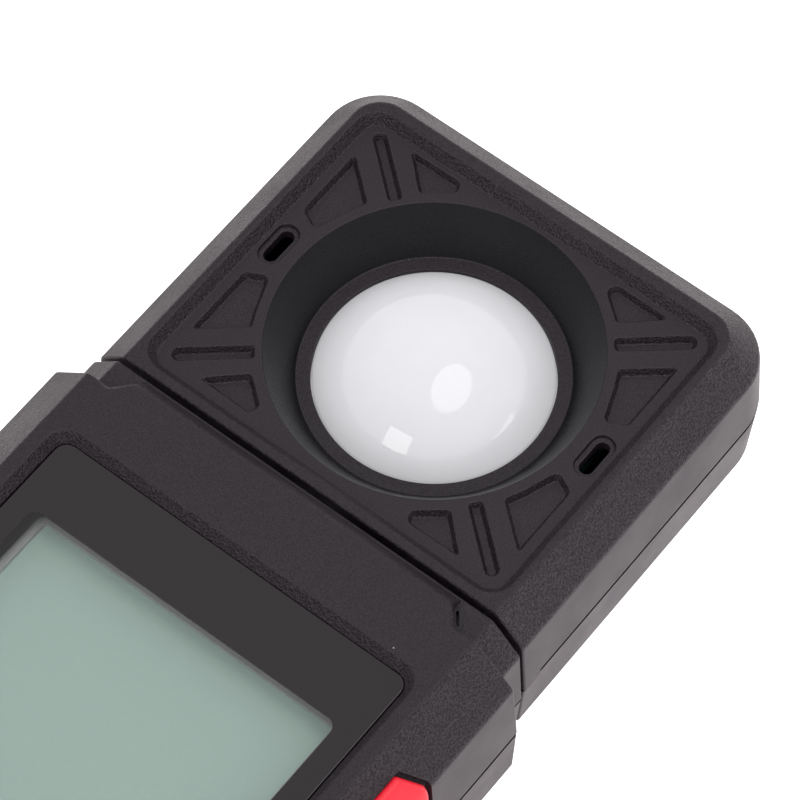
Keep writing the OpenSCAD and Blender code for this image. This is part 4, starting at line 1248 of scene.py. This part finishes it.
head_front()
head_rear()
body_front()
body_rear()
window()
for key in KEYS:
    if key == "power_button":
        key_piece(key, red)
    else:
        key_piece(key, key_grey)
side_grip("side_grip_left", -1)
side_grip("side_grip_right", 1)
dome()
INNER_FINISH = (
    (black_rubber, "dome_gasket"),
    (black_plastic, "filter_holder", "board_chips", "buzzer"),
    (filter_glass, "correction_filter"),
    (ceramic, "photodiode"),
    (board, "sensor_board", "main_board"),
    (steel, "sensor_board_screws", "head_screws", "board_screws", "housing_screws", "stop_pin",
     "spring_washer", "spindle_circlip", "battery_springs", "battery_contacts"),
    (turned, "swivel_spindle"),
    (acetal, "swivel_bush"),
    (cable, "sensor_cable", "board_cable"),
    (border_print, "window_gasket"),
    (frame_grey, "lcd_frame"),
    (lcd_glass, "lcd_panel"),
    (guide, "backlight_guide"),
    (connector, "lcd_connector_strip"),
    (mat_rubber, "keypad_mat"),
    (jacket, "battery_cells"),
    (brass, "tripod_insert"))
for node in frame["nodes"].values():
    paint(node.data, [charcoal])
for material, *names in INNER_FINISH:
    for name in names:
        paint(frame["nodes"][name].data, [material])


# ---- Stage ----

def add_stage():
    """A pale floor. What the meter reflects of it is a little warmer and dimmer than what is seen."""
    floor_z = -0.0195
    bpy.ops.mesh.primitive_plane_add(size=8, location=(0, 0, floor_z))
    floor = bpy.context.object
    floor.name = "floor"
    mix = Recipe("floor_white", (0.92, 0.92, 0.92), 0.7)
    seen = mix.node("LightPath")["Is Camera Ray"]
    glow = mix.tones(seen, (0.66, 0.585, 0.595, 1), (0.95, 0.95, 0.95, 1))
    mottling = mix.noise(mix.coords(), 40, 3)
    mix.shade({"Emission Color": glow, "Emission Strength": 1.0,
               "Roughness": mix.spread(mottling, 0.65, 0.75)})
    # seen from below, the floor is left out so that the back shows
    open_side = mix.node("BsdfTransparent", {"Color": (1, 1, 1, 1)})
    mix.surface(mix.facing("Backfacing"), mix.shader.outputs, open_side)
    floor.data.materials.append(mix.material)
    world = bpy.data.worlds.new("studio")
    bpy.context.scene.world = world
    world.use_nodes = True
    background = world.node_tree.nodes["Background"]
    background.inputs["Color"].default_value = (1, 0.985, 1, 1)
    background.inputs["Strength"].default_value = 0.88


def aimed(name, data, place, target):
    """A lamp or camera that looks from one place at another."""
    made = place_object(name, data)
    made.location = place
    made.rotation_euler = (target - made.location).to_track_quat("-Z", "Y").to_euler()
    return made


def add_softbox(name, towards, size, level, shape="RECTANGLE"):
    """A soft lamp in a direction from the dome; level is how bright its face looks."""
    distance = 1.2
    data = bpy.data.lights.new(name, "AREA")
    data.shape = shape
    data.size, data.size_y = size
    data.energy = level * math.pi * size[0] * size[1]
    target = Vector((0, DISH_Y, DOME_HIGH.z)) * MM
    aimed(name, data, target + Vector(towards).normalized() * distance, target)


def add_camera():
    """The photo's viewpoint, found from the straight edges and circles in it."""
    data = bpy.data.cameras.new("camera")
    data.lens = 199.85
    data.sensor_width = 36
    data.clip_end = 10
    place, target = Vector((150.7, -110.1, 444.9)) * MM, Vector((1.5, 80.4, 26.0)) * MM
    bpy.context.scene.camera = aimed("camera", data, place, target)


add_stage()
add_softbox("softbox_over", (0.24, 0.06, 0.95), (0.9, 0.62), 1.9, "ELLIPSE")
add_softbox("softbox_front", (0.04, -0.82, 0.56), (0.42, 0.36), 3.6)
add_softbox("softbox_side", (0.9, 0.22, 0.38), (0.5, 0.15), 2.1)
add_camera()
bpy.context.scene.view_settings.view_transform = "Standard"
